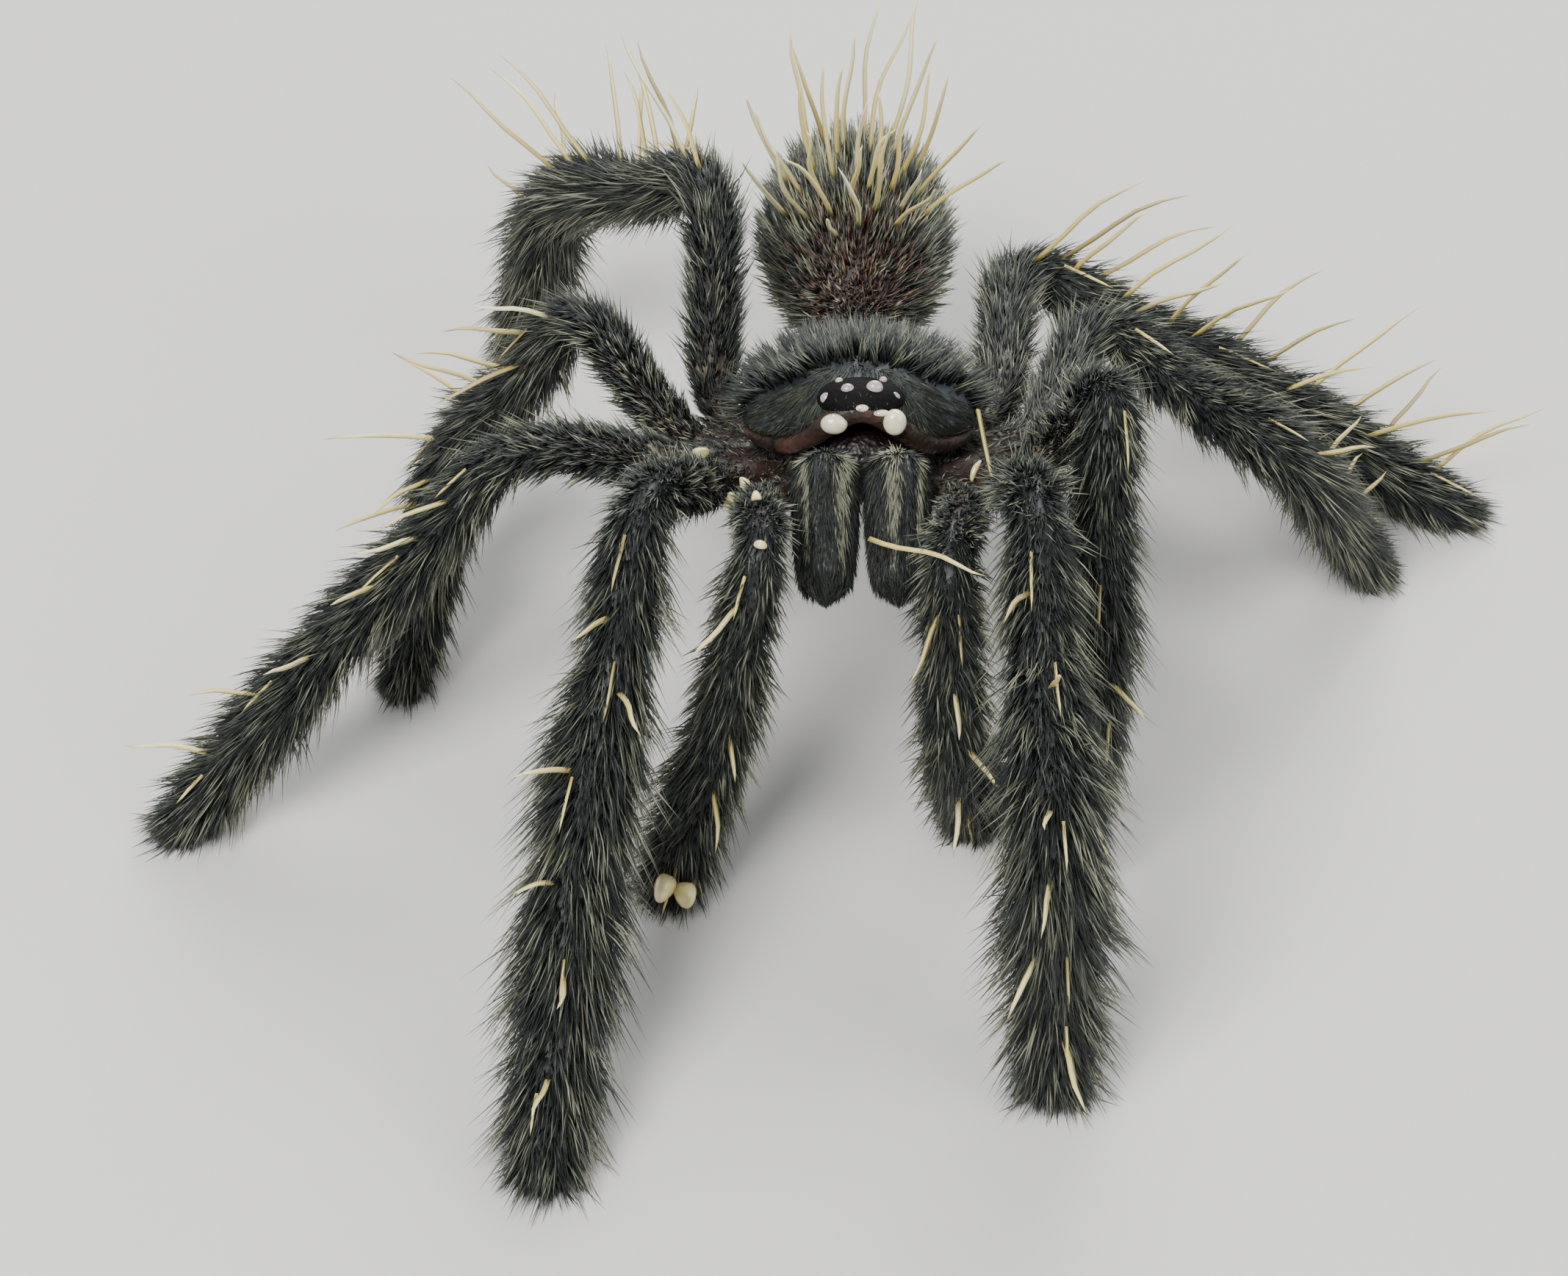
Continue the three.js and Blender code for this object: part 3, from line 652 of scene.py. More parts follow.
FUR_ROOM, FUR_ROOM_ALONG = 0.8, 0.86  # the soft body's size within its solid, which the fur fills
BROADER_BEHIND = 0.1
abdomen = ball("abdomen_skin", 48, 32)
x, y, z = points_of(abdomen).T
wider = (1 + BROADER_BEHIND * y) * FUR_ROOM
reshape(
    abdomen,
    on_abdomen(
        x * wider * ABDOMEN_WIDTH / 2,
        FUR_ROOM_ALONG * y * ABDOMEN_LENGTH / 2,
        z * wider * ABDOMEN_HEIGHT / 2,
    ),
)
smooth_over(abdomen)
abdomen_skin = cuticle("abdomen skin", (0.008, 0.006, 0.005), (0.026, 0.018, 0.014), 0.6, 500)
dress(abdomen, abdomen_skin, "fur", "abdomen")

fleece = Coat(21)
PARTING = on_abdomen(0, -0.2 * ABDOMEN_LENGTH, 0)  # the hair points away from here
PATCH_WIDTH, PATCH_AHEAD, PATCH_LENGTH = 1.9 * MM, 0.62, 0.4  # the last two as shares of the half length
FLEECE_LAYERS = [  # hairs, shortest and longest, thickness, rings, disorder and tone
    (13000, 0.4 * MM, 0.85 * MM, 0.034 * MM, 1, 0.2, SLATE - 0.06),
    (6500, 0.8 * MM, 1.5 * MM, 0.05 * MM, 2, 0.26, GREY - 0.01),
]


def fleece_layer(count, shortest, longest, thick, rings, spread, base):
    """One layer of the abdomen's hair, which is short and rusty on a patch at the front."""
    random = fleece.random
    roots, outward = roots_on(abdomen, count, random)
    local = roots - EGG_MIDDLE
    front = -(local @ EGG_BACK) / (ABDOMEN_LENGTH / 2)
    up = (local @ EGG_UP) / (ABDOMEN_HEIGHT / 2)
    patch = np.exp(-((local[:, 0] / PATCH_WIDTH) ** 2) - ((front - PATCH_AHEAD) / PATCH_LENGTH) ** 2)
    patch = patch * (up > 0)
    ways = unit(roots - PARTING) * 0.55 + outward * 0.25 + EGG_BACK * 0.45
    ways = ways + random.normal(size=roots.shape) * spread
    lengths = random.uniform(shortest, longest, count) * (1 - 0.5 * patch)
    ways, shade = in_locks(roots, ways, lengths, random, 8, 0.45)
    tones = base + 0.11 * shade + 0.05 * clumps(roots, 0.6 * MM) + 0.06 * random.normal(size=count)
    rusty = random.random(count) < 0.9 * patch
    tones = np.where(rusty, RUSTY + 0.025 * random.normal(size=count), np.minimum(tones, PALEST))
    fleece.add(roots, ways, lengths, thick, np.minimum(tones, RUSTY + 0.05), EGG_BACK, 0.2, rings, 0.03)


for layer in FLEECE_LAYERS:
    fleece_layer(*layer)

CREST_COUNT, CREST_LENGTH, CREST_LEAN = 30, 5.2 * MM, math.radians(30)
CREST_BACK, CREST_SPREAD = 0.6 * MM, 2.7 * MM
CREST_RISE, CREST_HALF_WIDTH, CREST_HALF_LENGTH = 0.42 * ABDOMEN_HEIGHT, 3.5 * MM, 5 * MM
GOLDEN_ANGLE = math.radians(137.5)  # spreads the bristles evenly
STRAW_THICK, STRAW_WAVE, STRAW_TAPER = 0.105 * MM, 0.04, 5  # of every long straw bristle
roots, ways, curls, lengths = [], [], [], []
for i in range(CREST_COUNT):
    ring = math.sqrt((i + 0.5) / CREST_COUNT)
    turn = i * GOLDEN_ANGLE
    aside = CREST_SPREAD * ring * math.sin(turn)
    backwards = CREST_BACK + CREST_SPREAD * ring * math.cos(turn)
    rise = CREST_RISE * math.sqrt(1 - (aside / CREST_HALF_WIDTH) ** 2 - (backwards / CREST_HALF_LENGTH) ** 2)
    tip = CREST_LEAN * ring
    way = EGG_BACK * math.sin(tip) * math.cos(turn) + EGG_UP * math.cos(tip)
    way[0] += math.sin(tip) * math.sin(turn)
    roots.append(on_abdomen(aside, backwards, rise))
    ways.append(way)
    curls.append((scatter_of(i + 700) - 0.5, scatter_of(i + 800) - 0.5, -0.1))
    lengths.append(CREST_LENGTH * (0.7 + 0.6 * scatter_of(i + 900)))
roots, ways, curls, lengths = (np.array(x) for x in (roots, ways, curls, lengths))
straws = fleece.straws(CREST_COUNT, STRAW + 0.03)
fleece.add(roots, ways, lengths, STRAW_THICK, straws, unit(curls), 0.16, 8, STRAW_WAVE, STRAW_TAPER)
fleece.piece("abdomen_fur", "fur")

# ------------------------------------------------------------------------------------------------ spinnerets
# Two finger-like spinnerets of soft skin with a short down reach out behind the abdomen, a little apart and
# slightly raised.
SPINNERET_APART, SPINNERET_BACK, SPINNERET_BELOW = 0.75 * MM, 0.44 * ABDOMEN_LENGTH + 0.3 * MM, 1.4 * MM
SPINNERET_RADIUS, SPINNERET_LENGTH, SPINNERET_RISE = 0.34 * MM, 2.2 * MM, 0.3 * MM
SPINNERET_HAIRS, TUFT_LENGTHS, TUFT_THICK = 500, (0.2, 0.45), 0.02 * MM
SIDES = ((-1, "right"), (1, "left"))
for side, word in SIDES:
    spinneret = ball(f"spinneret_{word}_skin", 20, 24)
    x, y, z = points_of(spinneret).T
    along = (y + 1) / 2
    reshape(
        spinneret,
        on_abdomen(
            side * SPINNERET_APART * (1 + 0.5 * along) + x * SPINNERET_RADIUS,
            SPINNERET_BACK + along * SPINNERET_LENGTH,
            z * SPINNERET_RADIUS + along * SPINNERET_RISE - SPINNERET_BELOW,
        ),
    )
    smooth_over(spinneret)
    dress(spinneret, red_brown, "underside", f"spinneret_{word}")
    down = Coat(27 + side)
    roots, outward = roots_on(spinneret, SPINNERET_HAIRS, down.random)
    lengths = down.random.uniform(*TUFT_LENGTHS, len(roots)) * MM
    down.add(roots, outward * 0.5 + EGG_BACK * 0.8, lengths, TUFT_THICK, GREY)
    down.piece(f"spinneret_{word}_hair", "fur")

# ------------------------------------------------------------------------------------------------ chelicerae
# Two stout jaws hang from the head, side by side, black with lengthwise streaks of pale hair on their fronts,
# a painted highlight. Each carries a polished black fang, which is folded up behind it.
CHELICERA_LENGTH, CHELICERA_WIDTH, CHELICERA_DEPTH = 5.8 * MM, 2.1 * MM, 2.5 * MM
CHELICERA_APART, CHELICERA_AHEAD, CHELICERA_ABOVE = 1.22 * MM, 4.33 * MM, 0.82 * MM
DROOP = math.radians(43)
JAW_DOWN = np.array(FORWARD) * math.cos(DROOP) - np.array(UPWARD) * math.sin(DROOP)
JAW_FACE = np.array(FORWARD) * math.sin(DROOP) + np.array(UPWARD) * math.cos(DROOP)
JAW_RADII = [0.0, 0.84, 0.98, 1.0, 0.98, 0.95, 0.91, 0.82, 0.0]  # from the head down, as shares of the width
JAW_RIDGES, RIDGE_HEIGHT = 9, 0.035
# For each jaw, how far its streaks of pale hair, a painted highlight, are to the side of its middle, and
# their half widths, in mm.
JAW_HIGHLIGHT_STREAKS = {-1: [(0.52, 0.2), (-0.6, 0.09)], 1: [(-0.15, 0.22), (0.66, 0.08)]}
JAW_HAIRS, JAW_LENGTHS, JAW_THICK, HIGHLIGHT_HAIR_THICKER = 6500, (0.35, 0.8), 0.026 * MM, 1.25
jaw_skin = cuticle("jaw skin", (0.004, 0.004, 0.005), (0.020, 0.020, 0.021), 0.42, 800, 0.00006)
fang_black = gloss("fang", (0.006, 0.005, 0.005), 0.12)
FANG_RADIUS, FANG_BEND = 0.34 * MM, 0.9 * MM
FANG_DOWN, FANG_BEHIND = 4.0 * MM, 0.41 * MM
FANG_START, FANG_SWEEP = math.radians(80), math.radians(110)
FANG_TAPER = ([0, 0.08, 0.5, 0.8, 1], [0, 1, 0.85, 0.45, 0])  # places along the fang, and its thickness there


def on_jaw(side, down, aside, out):
    place = on_body(side * CHELICERA_APART, CHELICERA_AHEAD, CHELICERA_ABOVE)
    place = place + np.multiply.outer(down, JAW_DOWN) + np.multiply.outer(out, JAW_FACE)
    place[..., 0] += aside
    return place


for side, word in SIDES:
    jaw = ball(f"chelicera_{word}_skin", 72, 40)
    x, y, z = points_of(jaw).T
    along = (z + 1) / 2
    radius = np.interp(along, np.linspace(0, 1, len(JAW_RADII)), JAW_RADII)
    ridged = 1 + RIDGE_HEIGHT * np.sin(math.pi * along) * np.cos(2 * JAW_RIDGES * np.arctan2(x, -y))
    round_by = np.maximum(np.hypot(x, y), 1e-9) / (radius * ridged)
    reshape(
        jaw,
        on_jaw(
            side,
            along * CHELICERA_LENGTH,
            x / round_by * CHELICERA_WIDTH / 2,
            -y / round_by * CHELICERA_DEPTH / 2,
        ),
    )
    smooth_over(jaw)
    dress(jaw, jaw_skin, "fur", f"chelicera_{word}")
    jaw_fur = Coat(31 + side)
    random = jaw_fur.random
    roots, outward = roots_on(jaw, JAW_HAIRS, random)
    local = roots - on_jaw(side, 0, 0, 0)
    aside, down = local[:, 0] / MM, local @ JAW_DOWN
    # Pale hair in streaks down the front of the jaw, fading lower down: a painted highlight.
    painted_highlight = sum(np.exp(-(((aside - at) / half) ** 2)) for at, half in JAW_HIGHLIGHT_STREAKS[side])
    painted_highlight = painted_highlight * (outward @ JAW_FACE > 0.25) * np.clip(1.55 - 1.6 * down / CHELICERA_LENGTH, 0, 1)
    keep = (down > 0.02 * MM) & (random.random(len(roots)) < 0.7 + painted_highlight)
    roots, outward, painted_highlight, down = (v[keep] for v in (roots, outward, painted_highlight, down))
    ways = JAW_DOWN - outward * ((outward @ JAW_DOWN) - 0.26)[:, None]
    ways = ways + 0.1 * random.normal(size=roots.shape)
    lengths = random.uniform(*JAW_LENGTHS, len(roots)) * MM * (1 - 0.55 * (down / CHELICERA_LENGTH) ** 4)
    ways, shade = in_locks(roots, ways, lengths, random, 6, 0.3)
    tones = SLATE + 0.06 + 0.09 * shade + 0.08 * random.normal(size=len(roots))
    in_painted_highlight = random.random(len(roots)) < 1.5 * painted_highlight - 0.2
    tones = np.where(in_painted_highlight, PALEST, np.minimum(tones, GREY + 0.06))
    jaw_fur.add(roots, ways, lengths, JAW_THICK * np.where(in_painted_highlight, HIGHLIGHT_HAIR_THICKER, 1), tones, JAW_DOWN, 0.1)
    jaw_fur.piece(f"chelicera_{word}_fur", "fur")
    fang = ball(f"fang_{word}_polished", 20, 28)
    x, y, z = points_of(fang).T
    along = (z + 1) / 2
    radius = FANG_RADIUS * np.interp(along, *FANG_TAPER)
    round_by = np.maximum(np.hypot(x, y), 1e-9)
    across, out = x / round_by * radius, -y / round_by * radius
    turn = FANG_START + FANG_SWEEP * along
    reshape(
        fang,
        on_jaw(
            side,
            FANG_DOWN + (FANG_BEND + out) * np.sin(turn),
            across,
            (FANG_BEND + out) * np.cos(turn) - FANG_BEND - FANG_BEHIND,
        ),
    )
    smooth_over(fang)
    dress(fang, fang_black, "fang", f"fang_{word}")

# --------------------------------------------------------------------------------------------- palps and legs
# Two short palps and eight legs, each of coxa, femur, patella, tibia, metatarsus and tarsus with soft joints
# between. Dense dark hair fringes their sides, and the rear legs carry long straw bristles.
COXA_START, COXA_END, COXA_BELOW = (2.8 * MM, 3.0 * MM), (5.9 * MM, 5.4 * MM), 0.8 * MM
PALP_COXA_START, PALP_COXA_END = (1.3 * MM, 3.0 * MM, -1.1 * MM), (3.2 * MM, 4.45 * MM, -1.0 * MM)
SOLE = -0.15 * MM  # the height of a tarsus's tip, so that the floor's plane cuts a flat sole
TIP = 6  # the last station: the coxa starts at 0, and the joints and the tip are at whole numbers
SEGMENT_BULGE = 0.09  # how much thicker a segment is in its middle, as a share
# Segment lengths in mm, radius over the fur in mm from station to station, and the coxa's angle.
LIMB_KINDS = {
    "palp": ([6.0, 3.2, 3.6, 3.4, 3.1], [0.4, 0.6, 0.88, 1.0, 1.1, 1.2, 1.0], None),
    "leg_1": ([7.8, 4.6, 6.4, 5.7, 4.9], [0.45, 0.84, 1.2, 1.45, 1.8, 1.75, 1.25], 52),
    "leg_2": ([6.9, 3.8, 5.2, 4.7, 4.1], [0.45, 0.84, 1.05, 1.2, 1.35, 1.4, 1.0], 75),
    "leg_3": ([6.4, 3.7, 5.0, 4.6, 4.1], [0.45, 0.84, 1.05, 1.2, 1.35, 1.3, 0.9], 101),
    "leg_4": ([8.2, 3.9, 5.3, 5.2, 4.2], [0.45, 0.84, 1.15, 1.35, 1.5, 1.45, 1.0], 128),
}
# Kind, side, the femur's yaw and lift, the foot on the floor in mm, and the way the ankle is pushed out. Then
# the bristles: first and last station, count, length in mm and how far their fan leans backwards.
LIMBS = [
    ("palp", -1, 2, 28, (-6.7, -13.2), (1, -0.3, 0), (2.6, 5.4, 3, 1.8, 0)),
    ("palp", 1, -4, 23, (4.0, -9.7), (-0.2, -1, 0), (2.2, 5.4, 4, 2.2, 0)),
    ("leg_1", -1, 23, 34, (-10.4, -25.7), (-0.8, 0, 1), (2.6, 5.7, 6, 2.0, 0)),
    ("leg_1", 1, 8, 36, (6.3, -21.8), (0, -0.8, 0.6), (2.6, 5.7, 6, 2.0, 0)),
    ("leg_2", -1, 70, 21, (-23.9, -10.4), (0, 0, 1), (2.4, 5.6, 6, 2.2, 0)),
    ("leg_2", 1, 40, 57, (6.8, -12.5), (0.15, -0.7, 0.6), (3.2, 5.6, 3, 2.0, 0)),
    ("leg_3", -1, 99, 52, (-16.3, -3.6), (-0.3, 0.95, 0), (2.1, 4.6, 9, 3.2, 20)),
    ("leg_3", 1, 153, 1, (19.2, 2.6), (0, -0.6, 0.8), (4.0, 5.4, 4, 2.2, 20)),
    ("leg_4", -1, 172, 51, (-12.9, 14.9), (-0.5, 0.6, 0.6), (2, 5, 17, 4.0, 20)),
    ("leg_4", 1, 169, 0, (23.0, 5.4), (0, 0, 1), (2, 5.6, 17, 4.2, 20)),
]
BODY_HEIGHT = 9.5 * MM
FLOOR_MIDDLE = np.array(BODY_MIDDLE) - np.array((0, 0, BODY_HEIGHT))  # under the front body's middle


def limb_joints(kind, side, yaw, lift, foot, bow):
    """The joints from the coxa's start to the tip of the tarsus, as arrays."""
    (femur, patella, tibia, metatarsus, tarsus), _, angle = LIMB_KINDS[kind]
    if kind == "palp":
        start, coxa_end = (on_body(side * at[0], at[1], at[2]) for at in (PALP_COXA_START, PALP_COXA_END))
    else:
        a = math.radians(angle)
        start, coxa_end = (
            on_body(side * at[0] * math.sin(a), at[1] * math.cos(a), -COXA_BELOW)
            for at in (COXA_START, COXA_END)
        )
    turn, rise = math.radians(yaw), math.radians(lift)
    femur_way = np.array(
        (side * math.sin(turn) * math.cos(rise), -math.cos(turn) * math.cos(rise), math.sin(rise))
    )
    knee = coxa_end + femur_way * femur * MM
    tip = FLOOR_MIDDLE + np.array((foot[0] * MM, foot[1] * MM, SOLE))
    upper, lower = (patella + tibia) * MM, (metatarsus + tarsus) * MM
    reach = tip - knee
    distance = min(np.linalg.norm(reach), upper + lower - 0.02 * MM)
    straight = unit(reach)
    along = (upper**2 - lower**2 + distance**2) / (2 * distance)
    out = np.array(bow, float)
    out = unit(out - straight * (out @ straight))
    ankle = knee + straight * along + out * math.sqrt(upper**2 - along**2)
    patella_end = knee + (ankle - knee) * patella * MM / upper
    metatarsus_end = ankle + (tip - ankle) * metatarsus * MM / lower
    return np.array([start, coxa_end, knee, patella_end, ankle, metatarsus_end, tip])


def limb_point(joints, station):
    """A place on the smooth line through the joints, by station: whole numbers are the joints themselves."""
    i = int(min(math.floor(station), TIP - 1))
    t = station - i
    b, c = joints[i], joints[i + 1]
    a = joints[i - 1] if i > 0 else 2 * b - c
    d = joints[i + 2] if i < TIP - 1 else 2 * c - b
    ab, bc, cd = (math.sqrt(np.linalg.norm(q - p)) for p, q in ((a, b), (b, c), (c, d)))
    leave = ((b - a) / ab - (c - a) / (ab + bc) + (c - b) / bc) * bc
    arrive = ((c - b) / bc - (d - b) / (bc + cd) + (d - c) / cd) * bc
    square = 3 * (c - b) - 2 * leave - arrive
    cube = 2 * (b - c) + leave + arrive
    return b + t * (leave + t * (square + t * cube))


def limb_line(joints, stations):
    """Points, tangents, tops and asides at the stations."""
    small = 0.0006  # stations
    points = np.array([limb_point(joints, s) for s in stations])
    after = np.array([limb_point(joints, min(TIP, s + small)) for s in stations])
    before = np.array([limb_point(joints, max(0, s - small)) for s in stations])
    tangents = unit(after - before)
    sideways = unit(np.cross((0, 0, 1), joints[TIP] - joints[1]))
    tops = unit(np.cross(tangents, sideways))
    return points, tangents, tops, np.cross(tangents, tops)


def girth_at(kind, stations):
    stations = np.asarray(stations, float)
    share = stations - np.minimum(np.floor(stations), TIP - 1)
    bulge = 1 + SEGMENT_BULGE * np.sin(math.pi * share)
    return np.interp(stations, range(TIP + 1), LIMB_KINDS[kind][1]) * bulge * MM


def cut_at_floor(obj):
    """Cuts the piece off flat where it stands."""
    pick(obj)
    bpy.ops.object.mode_set(mode="EDIT")
    bpy.ops.mesh.select_all(action="SELECT")
    bpy.ops.mesh.bisect(
        plane_co=(0, 0, 0), plane_no=(0, 0, 1), use_fill=True, clear_inner=True, threshold=SAME_PLACE
    )
    bpy.ops.object.mode_set(mode="OBJECT")


LEG_CORE, PALP_CORE = 0.6, 0.74  # the bare limb's radius as a share of its radius over the fur
WAIST_DEPTH, WAIST_HALF = 0.13, 0.09  # at each joint, with the half width in stations
COXA_AT, COXA_HALF, COXA_THICKER = 0.8, 0.6, 0.35  # the stout coxa's station, half width and share
BLUNT = 0.7  # the size of the first and last rings, as a share
RED_BASE, HORN = (0.026, 0.012, 0.008), (0.50, 0.44, 0.27)
RIMS = [(0.95, 0.035), (1.28, 0.03)]  # stations and half widths of the bare horny rims near the body


def limb_cuticle():
    """Black skin that turns red-brown towards the body, with pale horny rims at the first joints."""
    made = cuticle("limb skin", (0.004, 0.005, 0.005), (0.018, 0.019, 0.021), 0.5, 800, 0.00006)
    nodes, links = made.node_tree.nodes, made.node_tree.links
    base_colour = nodes["Principled BSDF"].inputs["Base Color"]
    colour = base_colour.links[0].from_socket
    for mask, tint in (("near_body", RED_BASE), ("rim", HORN)):
        where = nodes.new("ShaderNodeAttribute")
        where.attribute_name = mask
        mix = nodes.new("ShaderNodeMix")
        mix.data_type = "RGBA"
        links.new(where.outputs["Fac"], mix.inputs["Factor"])
        links.new(colour, mix.inputs["A"])
        mix.inputs["B"].default_value = (*tint, 1)
        colour = mix.outputs["Result"]
    links.new(colour, base_colour)
    return made


def paint(obj, name, values):
    obj.data.attributes.new(name, "FLOAT", "POINT").data.foreach_set("value", values)


def limb_skin(node, kind, line, stations, run):
    """The bare limb, with a waist at each joint, cut off flat at the floor."""
    rings = np.interp(np.linspace(0, run[-1], 81), run, stations)
    waist = sum(WAIST_DEPTH * np.exp(-(((rings - joint) / WAIST_HALF) ** 2)) for joint in range(1, TIP))
    thicker = 1 + COXA_THICKER * np.exp(-(((rings - COXA_AT) / COXA_HALF) ** 2))
    core = (PALP_CORE if kind == "palp" else LEG_CORE) * girth_at(kind, rings) * (1 - waist) * thicker
    core[0] *= BLUNT
    core[-1] *= BLUNT
    skin = rod(f"{node}_skin", core, run[-1], 14)
    x, y, z = points_of(skin).T
    at = np.interp(x, run, stations)
    paint(skin, "near_body", np.clip((1.9 - at) / 0.7, 0, 1))
    broken = np.clip(0.4 + 1.2 * clumps(points_of(skin), 0.22 * MM), 0, 1)
    paint(skin, "rim", broken * sum(np.exp(-(((at - middle) / half) ** 2)) for middle, half in RIMS))
    bend_along(skin, line)
    cut_at_floor(skin)
    smooth_over(skin)
    return dress(skin, limb_black, "fur", node)


FUR_FROM, FUR_ABOVE = 0.15, 0.12 * MM  # the station and the height at which a limb's fur starts


def grow_fur(fur, skin, kind, frames, count, longest, lift_out, thick, rings, spread, base):
    """One layer of a limb's hair. It lies towards the tip, and grows longest along the limb's two sides."""
    random = fur.random
    stations, line, tangents, tops, asides = frames
    roots, outward = roots_on(skin, count, random)
    nearest = nearest_of(roots, line[::4]) * 4
    at = stations[nearest]
    grown = np.clip((at - 0.1) / 1.2, 0.45, 1)  # shorter near the body
    keep = (at > FUR_FROM) & (roots[:, 2] > FUR_ABOVE)
    roots, outward, at, grown, nearest = (v[keep] for v in (roots, outward, at, grown, nearest))
    along, top, aside = tangents[nearest], tops[nearest], asides[nearest]
    girth = girth_at(kind, at)
    lateral = np.abs((outward * aside).sum(1))
    ways = along * 0.8 + outward * lift_out + random.normal(size=roots.shape) * spread
    lengths = longest * girth * (0.68 + 0.32 * lateral) * grown * random.uniform(0.6, 1.25, len(roots))
    ways, shade = in_locks(roots, ways, lengths, random, 8, 0.45)
    tones = base + 0.07 * shade + 0.05 * clumps(roots, 0.5 * MM) + 0.06 * random.normal(size=len(roots))
    # The longer hairs on the limb's two sides are paler, partly their own tone and partly painted light
    # through the fringe.
    tones = tones + (0.1 * lateral if rings > 1 else 0)
    fur.add(roots, ways, lengths, thick, np.minimum(tones, PALEST), along, 0.25, rings, 0.03)


BRISTLE_FAN, BRISTLE_LEAN, BRISTLE_ROOT = 80, 0.45, 0.45  # degrees, and shares of the length and of the girth


def grow_bristles(fur, number, kind, side, joints, bristles):
    """The stiff straw bristles that the fur carries, at the places of those on the limb's solid."""
    first, last, count, length, fan = bristles
    keys = [number * 40 + i for i in range(count)]
    spots = [first + (last - first) * (i + 0.5 * scatter_of(k)) / count for i, k in enumerate(keys)]
    line, along, top, aside = limb_line(joints, spots)
    rolls = [math.radians(BRISTLE_FAN * (scatter_of(k + 0.3) - 0.5) - fan * side) for k in keys]
    rolls = np.array(rolls)[:, None]
    ways = top * np.cos(rolls) + aside * np.sin(rolls)
    girth = girth_at(kind, spots)
    roots = line + ways * BRISTLE_ROOT * girth[:, None]
    ways = ways + along * np.array([BRISTLE_LEAN * scatter_of(k + 0.6) for k in keys])[:, None]
    lengths = length * MM * np.array([0.65 + 0.5 * scatter_of(k + 0.9) for k in keys]) + 0.5 * girth
    straws = fur.straws(count, STRAW)
    fur.add(roots, ways, lengths, STRAW_THICK, straws, along, 0.2, 6, STRAW_WAVE, STRAW_TAPER)


LAID_FROM, LAID_TO, LAID_LENGTHS, LAID_THICK = 2.35, 5.3, (1.4, 2.3), 0.065 * MM
LAID_COUNTS = {"palp": 2, "leg_1": 5, "leg_2": 4, "leg_3": 3, "leg_4": 3}


def lay_bristles(fur, kind, joints, count):
    """Tan bristles that lie along the limb on top of its fur."""
    random = fur.random
    spots = np.linspace(LAID_FROM, LAID_TO, count) + random.uniform(-0.15, 0.15, count)
    line, along, top, aside = limb_line(joints, spots)
    rolls = random.uniform(-0.4, 0.4, (count, 1))
    out = top * np.cos(rolls) + aside * np.sin(rolls)
    roots = line + out * 0.8 * girth_at(kind, spots)[:, None]
    lengths = random.uniform(*LAID_LENGTHS, count) * MM
    tones = np.clip(TAN + 0.05 + 0.03 * random.normal(size=count), TAN, STRAW)
    fur.add(roots, along + out * 0.16, lengths, LAID_THICK, tones, -out, 0.04, 4, 0.01, STRAW_TAPER)


BRUSH_HAIRS, BRUSH_AT, BRUSH_LENGTHS, BRUSH_THICK = 420, 5.9, (0.35, 0.63), 0.035 * MM
CLAW_LENGTH, CLAW_THICK = 1.05 * MM, 0.13 * MM


def end_limb(fur, kind, joints):
    """A brush of short hair round the tip, and two small black claws in it."""
    random = fur.random
    line, along, top, aside = limb_line(joints, [BRUSH_AT])
    girth = girth_at(kind, [BRUSH_AT])[0]
    turns = random.uniform(0, math.tau, (BRUSH_HAIRS, 1))
    out = top * np.cos(turns) + aside * np.sin(turns)
    roots = line + out * girth * random.uniform(0.2, 0.6, (BRUSH_HAIRS, 1))
    ways = along + out * 0.45 + 0.2 * random.normal(size=(BRUSH_HAIRS, 3))
    tones = np.minimum(GREY - 0.04 + 0.06 * random.normal(size=BRUSH_HAIRS), PALE)
    lengths = random.uniform(*BRUSH_LENGTHS, BRUSH_HAIRS) * MM
    fur.add(roots, ways, lengths, BRUSH_THICK, tones, along, 0.2)
    sides = np.array([[-1.0], [1.0]])
    roots = line + aside * sides * 0.2 * girth + top * 0.35 * girth
    ways = along + top * 0.35 + aside * sides * 0.2
    fur.add(roots, ways, CLAW_LENGTH, CLAW_THICK, BLACK, -top, 0.5, 5)


limb_black = limb_cuticle()
# Hairs on a leg and on a palp, length as a share of girth, outward lean, thickness, rings, disorder and tone.
LAYERS = [
    (11500, 7600, 0.78, 0.62, 0.026 * MM, 1, 0.2, SLATE + 0.03),
    (2500, 1900, 1.12, 0.85, 0.036 * MM, 2, 0.24, SLATE + 0.13),
]
for number, (kind, side, yaw, lift, foot, bow, bristles) in enumerate(LIMBS):
    node = f"{kind}_{'left' if side > 0 else 'right'}"
    joints = limb_joints(kind, side, yaw, lift, foot, bow)
    stations = np.linspace(0, TIP, 241)
    line, tangents, tops, asides = limb_line(joints, stations)
    run = np.concatenate([[0], np.cumsum(np.linalg.norm(np.diff(line, axis=0), axis=1))])
    skin = limb_skin(node, kind, line, stations, run)
    fur = Coat(100 + number)
    for on_leg, on_palp, *look in LAYERS:
        count = on_palp if kind == "palp" else on_leg
        grow_fur(fur, skin, kind, (stations, line, tangents, tops, asides), count, *look)
    grow_bristles(fur, number, kind, side, joints, bristles)
    lay_bristles(fur, kind, joints, LAID_COUNTS[kind])
    end_limb(fur, kind, joints)
    fur.piece(f"{node}_fur", "fur")
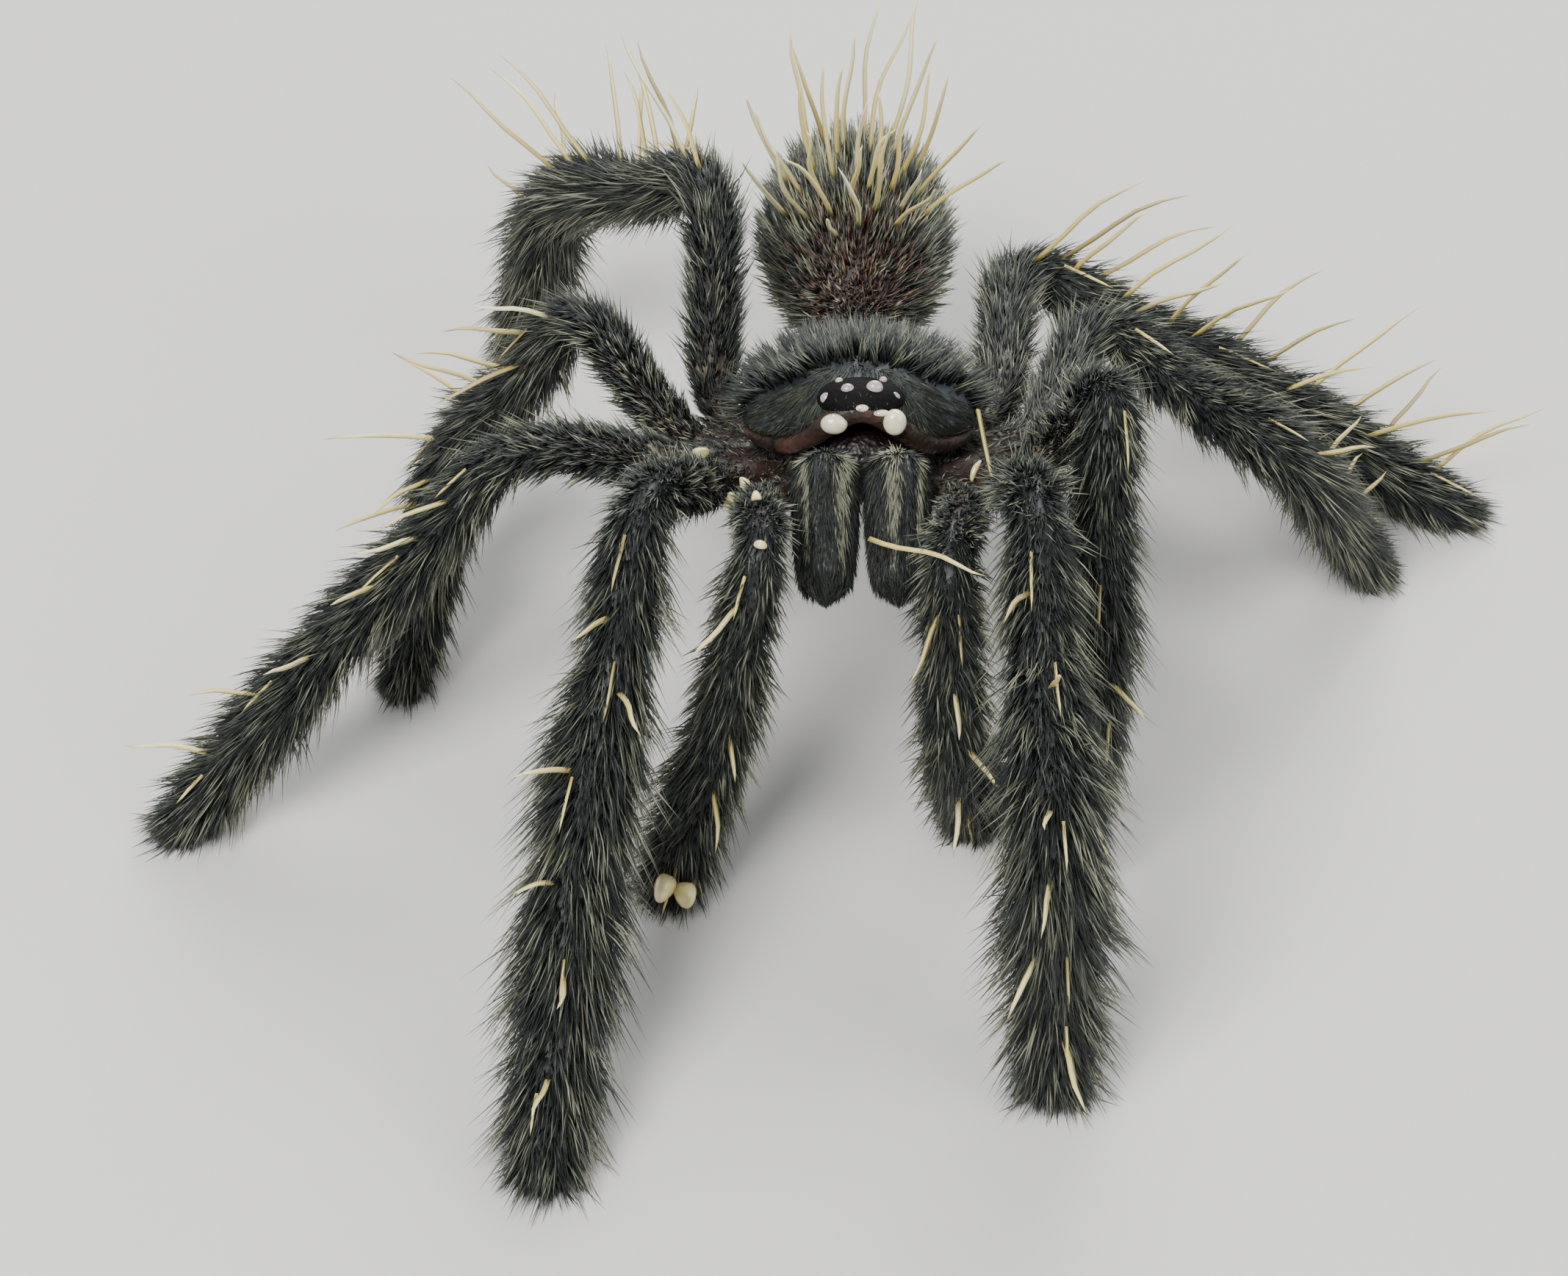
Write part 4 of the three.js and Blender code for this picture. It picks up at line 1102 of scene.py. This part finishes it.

# Glossy cream flecks at the joints near the body are partly bare pale horn and partly painted highlight, and
# two cream pads sit at the right palp's tip. Limb by its place in the list, station, degrees up from straight
# ahead, half size across and along it.
FLECKS = [
    (4, 1.04, 62, 0.14, 0.24), (4, 1.22, 46, 0.13, 0.34), (2, 1.12, 42, 0.18, 0.14), (2, 1.26, 34, 0.24, 0.2),
    (0, 1.75, 45, 0.13, 0.12), (0, 2.05, 45, 0.17, 0.11), (3, 0.85, 20, 0.3, 0.08), (3, 1.12, 48, 0.3, 0.08),
    (5, 0.82, 22, 0.3, 0.08), (5, 1.1, 46, 0.3, 0.08), (4, 0.84, 30, 0.1, 0.2), (0, 5.62, -35, 0.28, 0.34),
    (0, 5.6, 55, 0.28, 0.38),
]
FLECK_RAISED, FLECK_SCALE, FLECK_CURVE = 0.36 * MM, 1.35 * MM, 0.7
# Pale horn, and at the joints also a painted highlight; the palp's pads are their own cream.
cream_horn_and_highlight = gloss("cream horn and painted highlight", (0.60, 0.52, 0.24), 0.15)
flecks = []
for number, station, angle, half_across, half_along in FLECKS:
    kind, side, yaw, lift, foot, bow, bristles = LIMBS[number]
    line, tangents, tops, asides = limb_line(limb_joints(kind, side, yaw, lift, foot, bow), [station])
    out = np.array((0, -math.cos(math.radians(angle)), math.sin(math.radians(angle))))
    out = unit(out - tangents[0] * (out @ tangents[0]))
    fleck = ball("fleck", 16, 10)
    x, y, z = (points_of(fleck)[:, i, None] for i in range(3))
    around = np.cross(out, tangents[0])
    middle = line[0] + out * (girth_at(kind, station) + FLECK_RAISED)
    spread = x * around * half_across + y * tangents[0] * half_along
    spread = spread + (z - FLECK_CURVE * x**2) * out * half_along
    places = middle + spread * FLECK_SCALE
    places[:, 2] = np.maximum(places[:, 2], 0)
    reshape(fleck, places)
    flecks.append(fleck)
flecks = joined("joint_flecks_and_highlights", flecks)
smooth_over(flecks)
dress(flecks, cream_horn_and_highlight, "underside")

# Two loose straw bristles lie across the face: one over the left jaw, the other beside the carapace.
LOOSE_THICK, UP = 0.1 * MM, (0, 0, 1)
loose = Coat(90)
roots = np.array([on_jaw(1, 4.2 * MM, -1.0 * MM, 1.6 * MM), on_body(4.0 * MM, 2.3 * MM, 1.5 * MM)])
ends = np.array([on_jaw(1, 7.3 * MM, 2.7 * MM, 4.6 * MM), on_body(4.6 * MM, 5.2 * MM, -1.0 * MM)])
lengths = np.linalg.norm(ends - roots, axis=1)
straws = [STRAW, TAN + 0.04]
loose.add(roots, ends - roots, lengths, LOOSE_THICK, straws, UP, 0.06, 8, STRAW_WAVE, STRAW_TAPER)
loose.piece("loose_bristles", "fur")

# ------------------------------------------------------------------------------------------------ studio
# A plain pale floor, soft lamps and the camera, which looks down at the face. None of it is part of the
# specimen.
deselect()
bpy.ops.mesh.primitive_plane_add(size=2, location=(0, 0, 0))
floor = bpy.context.object
floor.name = "floor"
paper = bpy.data.materials.new("pale paper")
paper.use_nodes = True
paper.node_tree.nodes["Principled BSDF"].inputs["Base Color"].default_value = (0.62, 0.61, 0.58, 1)
paper.node_tree.nodes["Principled BSDF"].inputs["Roughness"].default_value = 0.9
floor.data.materials.append(paper)


def softbox(name, place, size, watts):
    data = bpy.data.lights.new(name, "AREA")
    data.energy, data.size = watts, size
    lamp = bpy.data.objects.new(name, data)
    bpy.context.scene.collection.objects.link(lamp)
    lamp.location = place
    lamp.rotation_euler = (Vector((0, 0, 0.005)) - Vector(place)).to_track_quat("-Z", "Y").to_euler()


softbox("key", (-0.12, -0.16, 0.28), 0.16, 1.6)
softbox("fill", (0.25, -0.12, 0.16), 0.2, 0.5)
softbox("rim", (0.05, 0.26, 0.2), 0.2, 1.2)
world = bpy.data.worlds.new("soft room")
world.use_nodes = True
world.node_tree.nodes["Background"].inputs["Color"].default_value = (0.9, 0.93, 1.0, 1)
world.node_tree.nodes["Background"].inputs["Strength"].default_value = 0.5
bpy.context.scene.world = world

CAMERA_PLACE = (-2.603, -114.323, 113.563)  # millimetres from the floor under the front body
camera_data = bpy.data.cameras.new("camera")
camera_data.lens, camera_data.sensor_width = 102.08, 36
camera_data.clip_start, camera_data.clip_end = 0.001, 10
camera = bpy.data.objects.new("camera", camera_data)
bpy.context.scene.collection.objects.link(camera)
camera.location = FLOOR_MIDDLE + np.array(CAMERA_PLACE) * MM
camera.rotation_euler = (math.radians(45), 0, 0)
bpy.context.scene.camera = camera
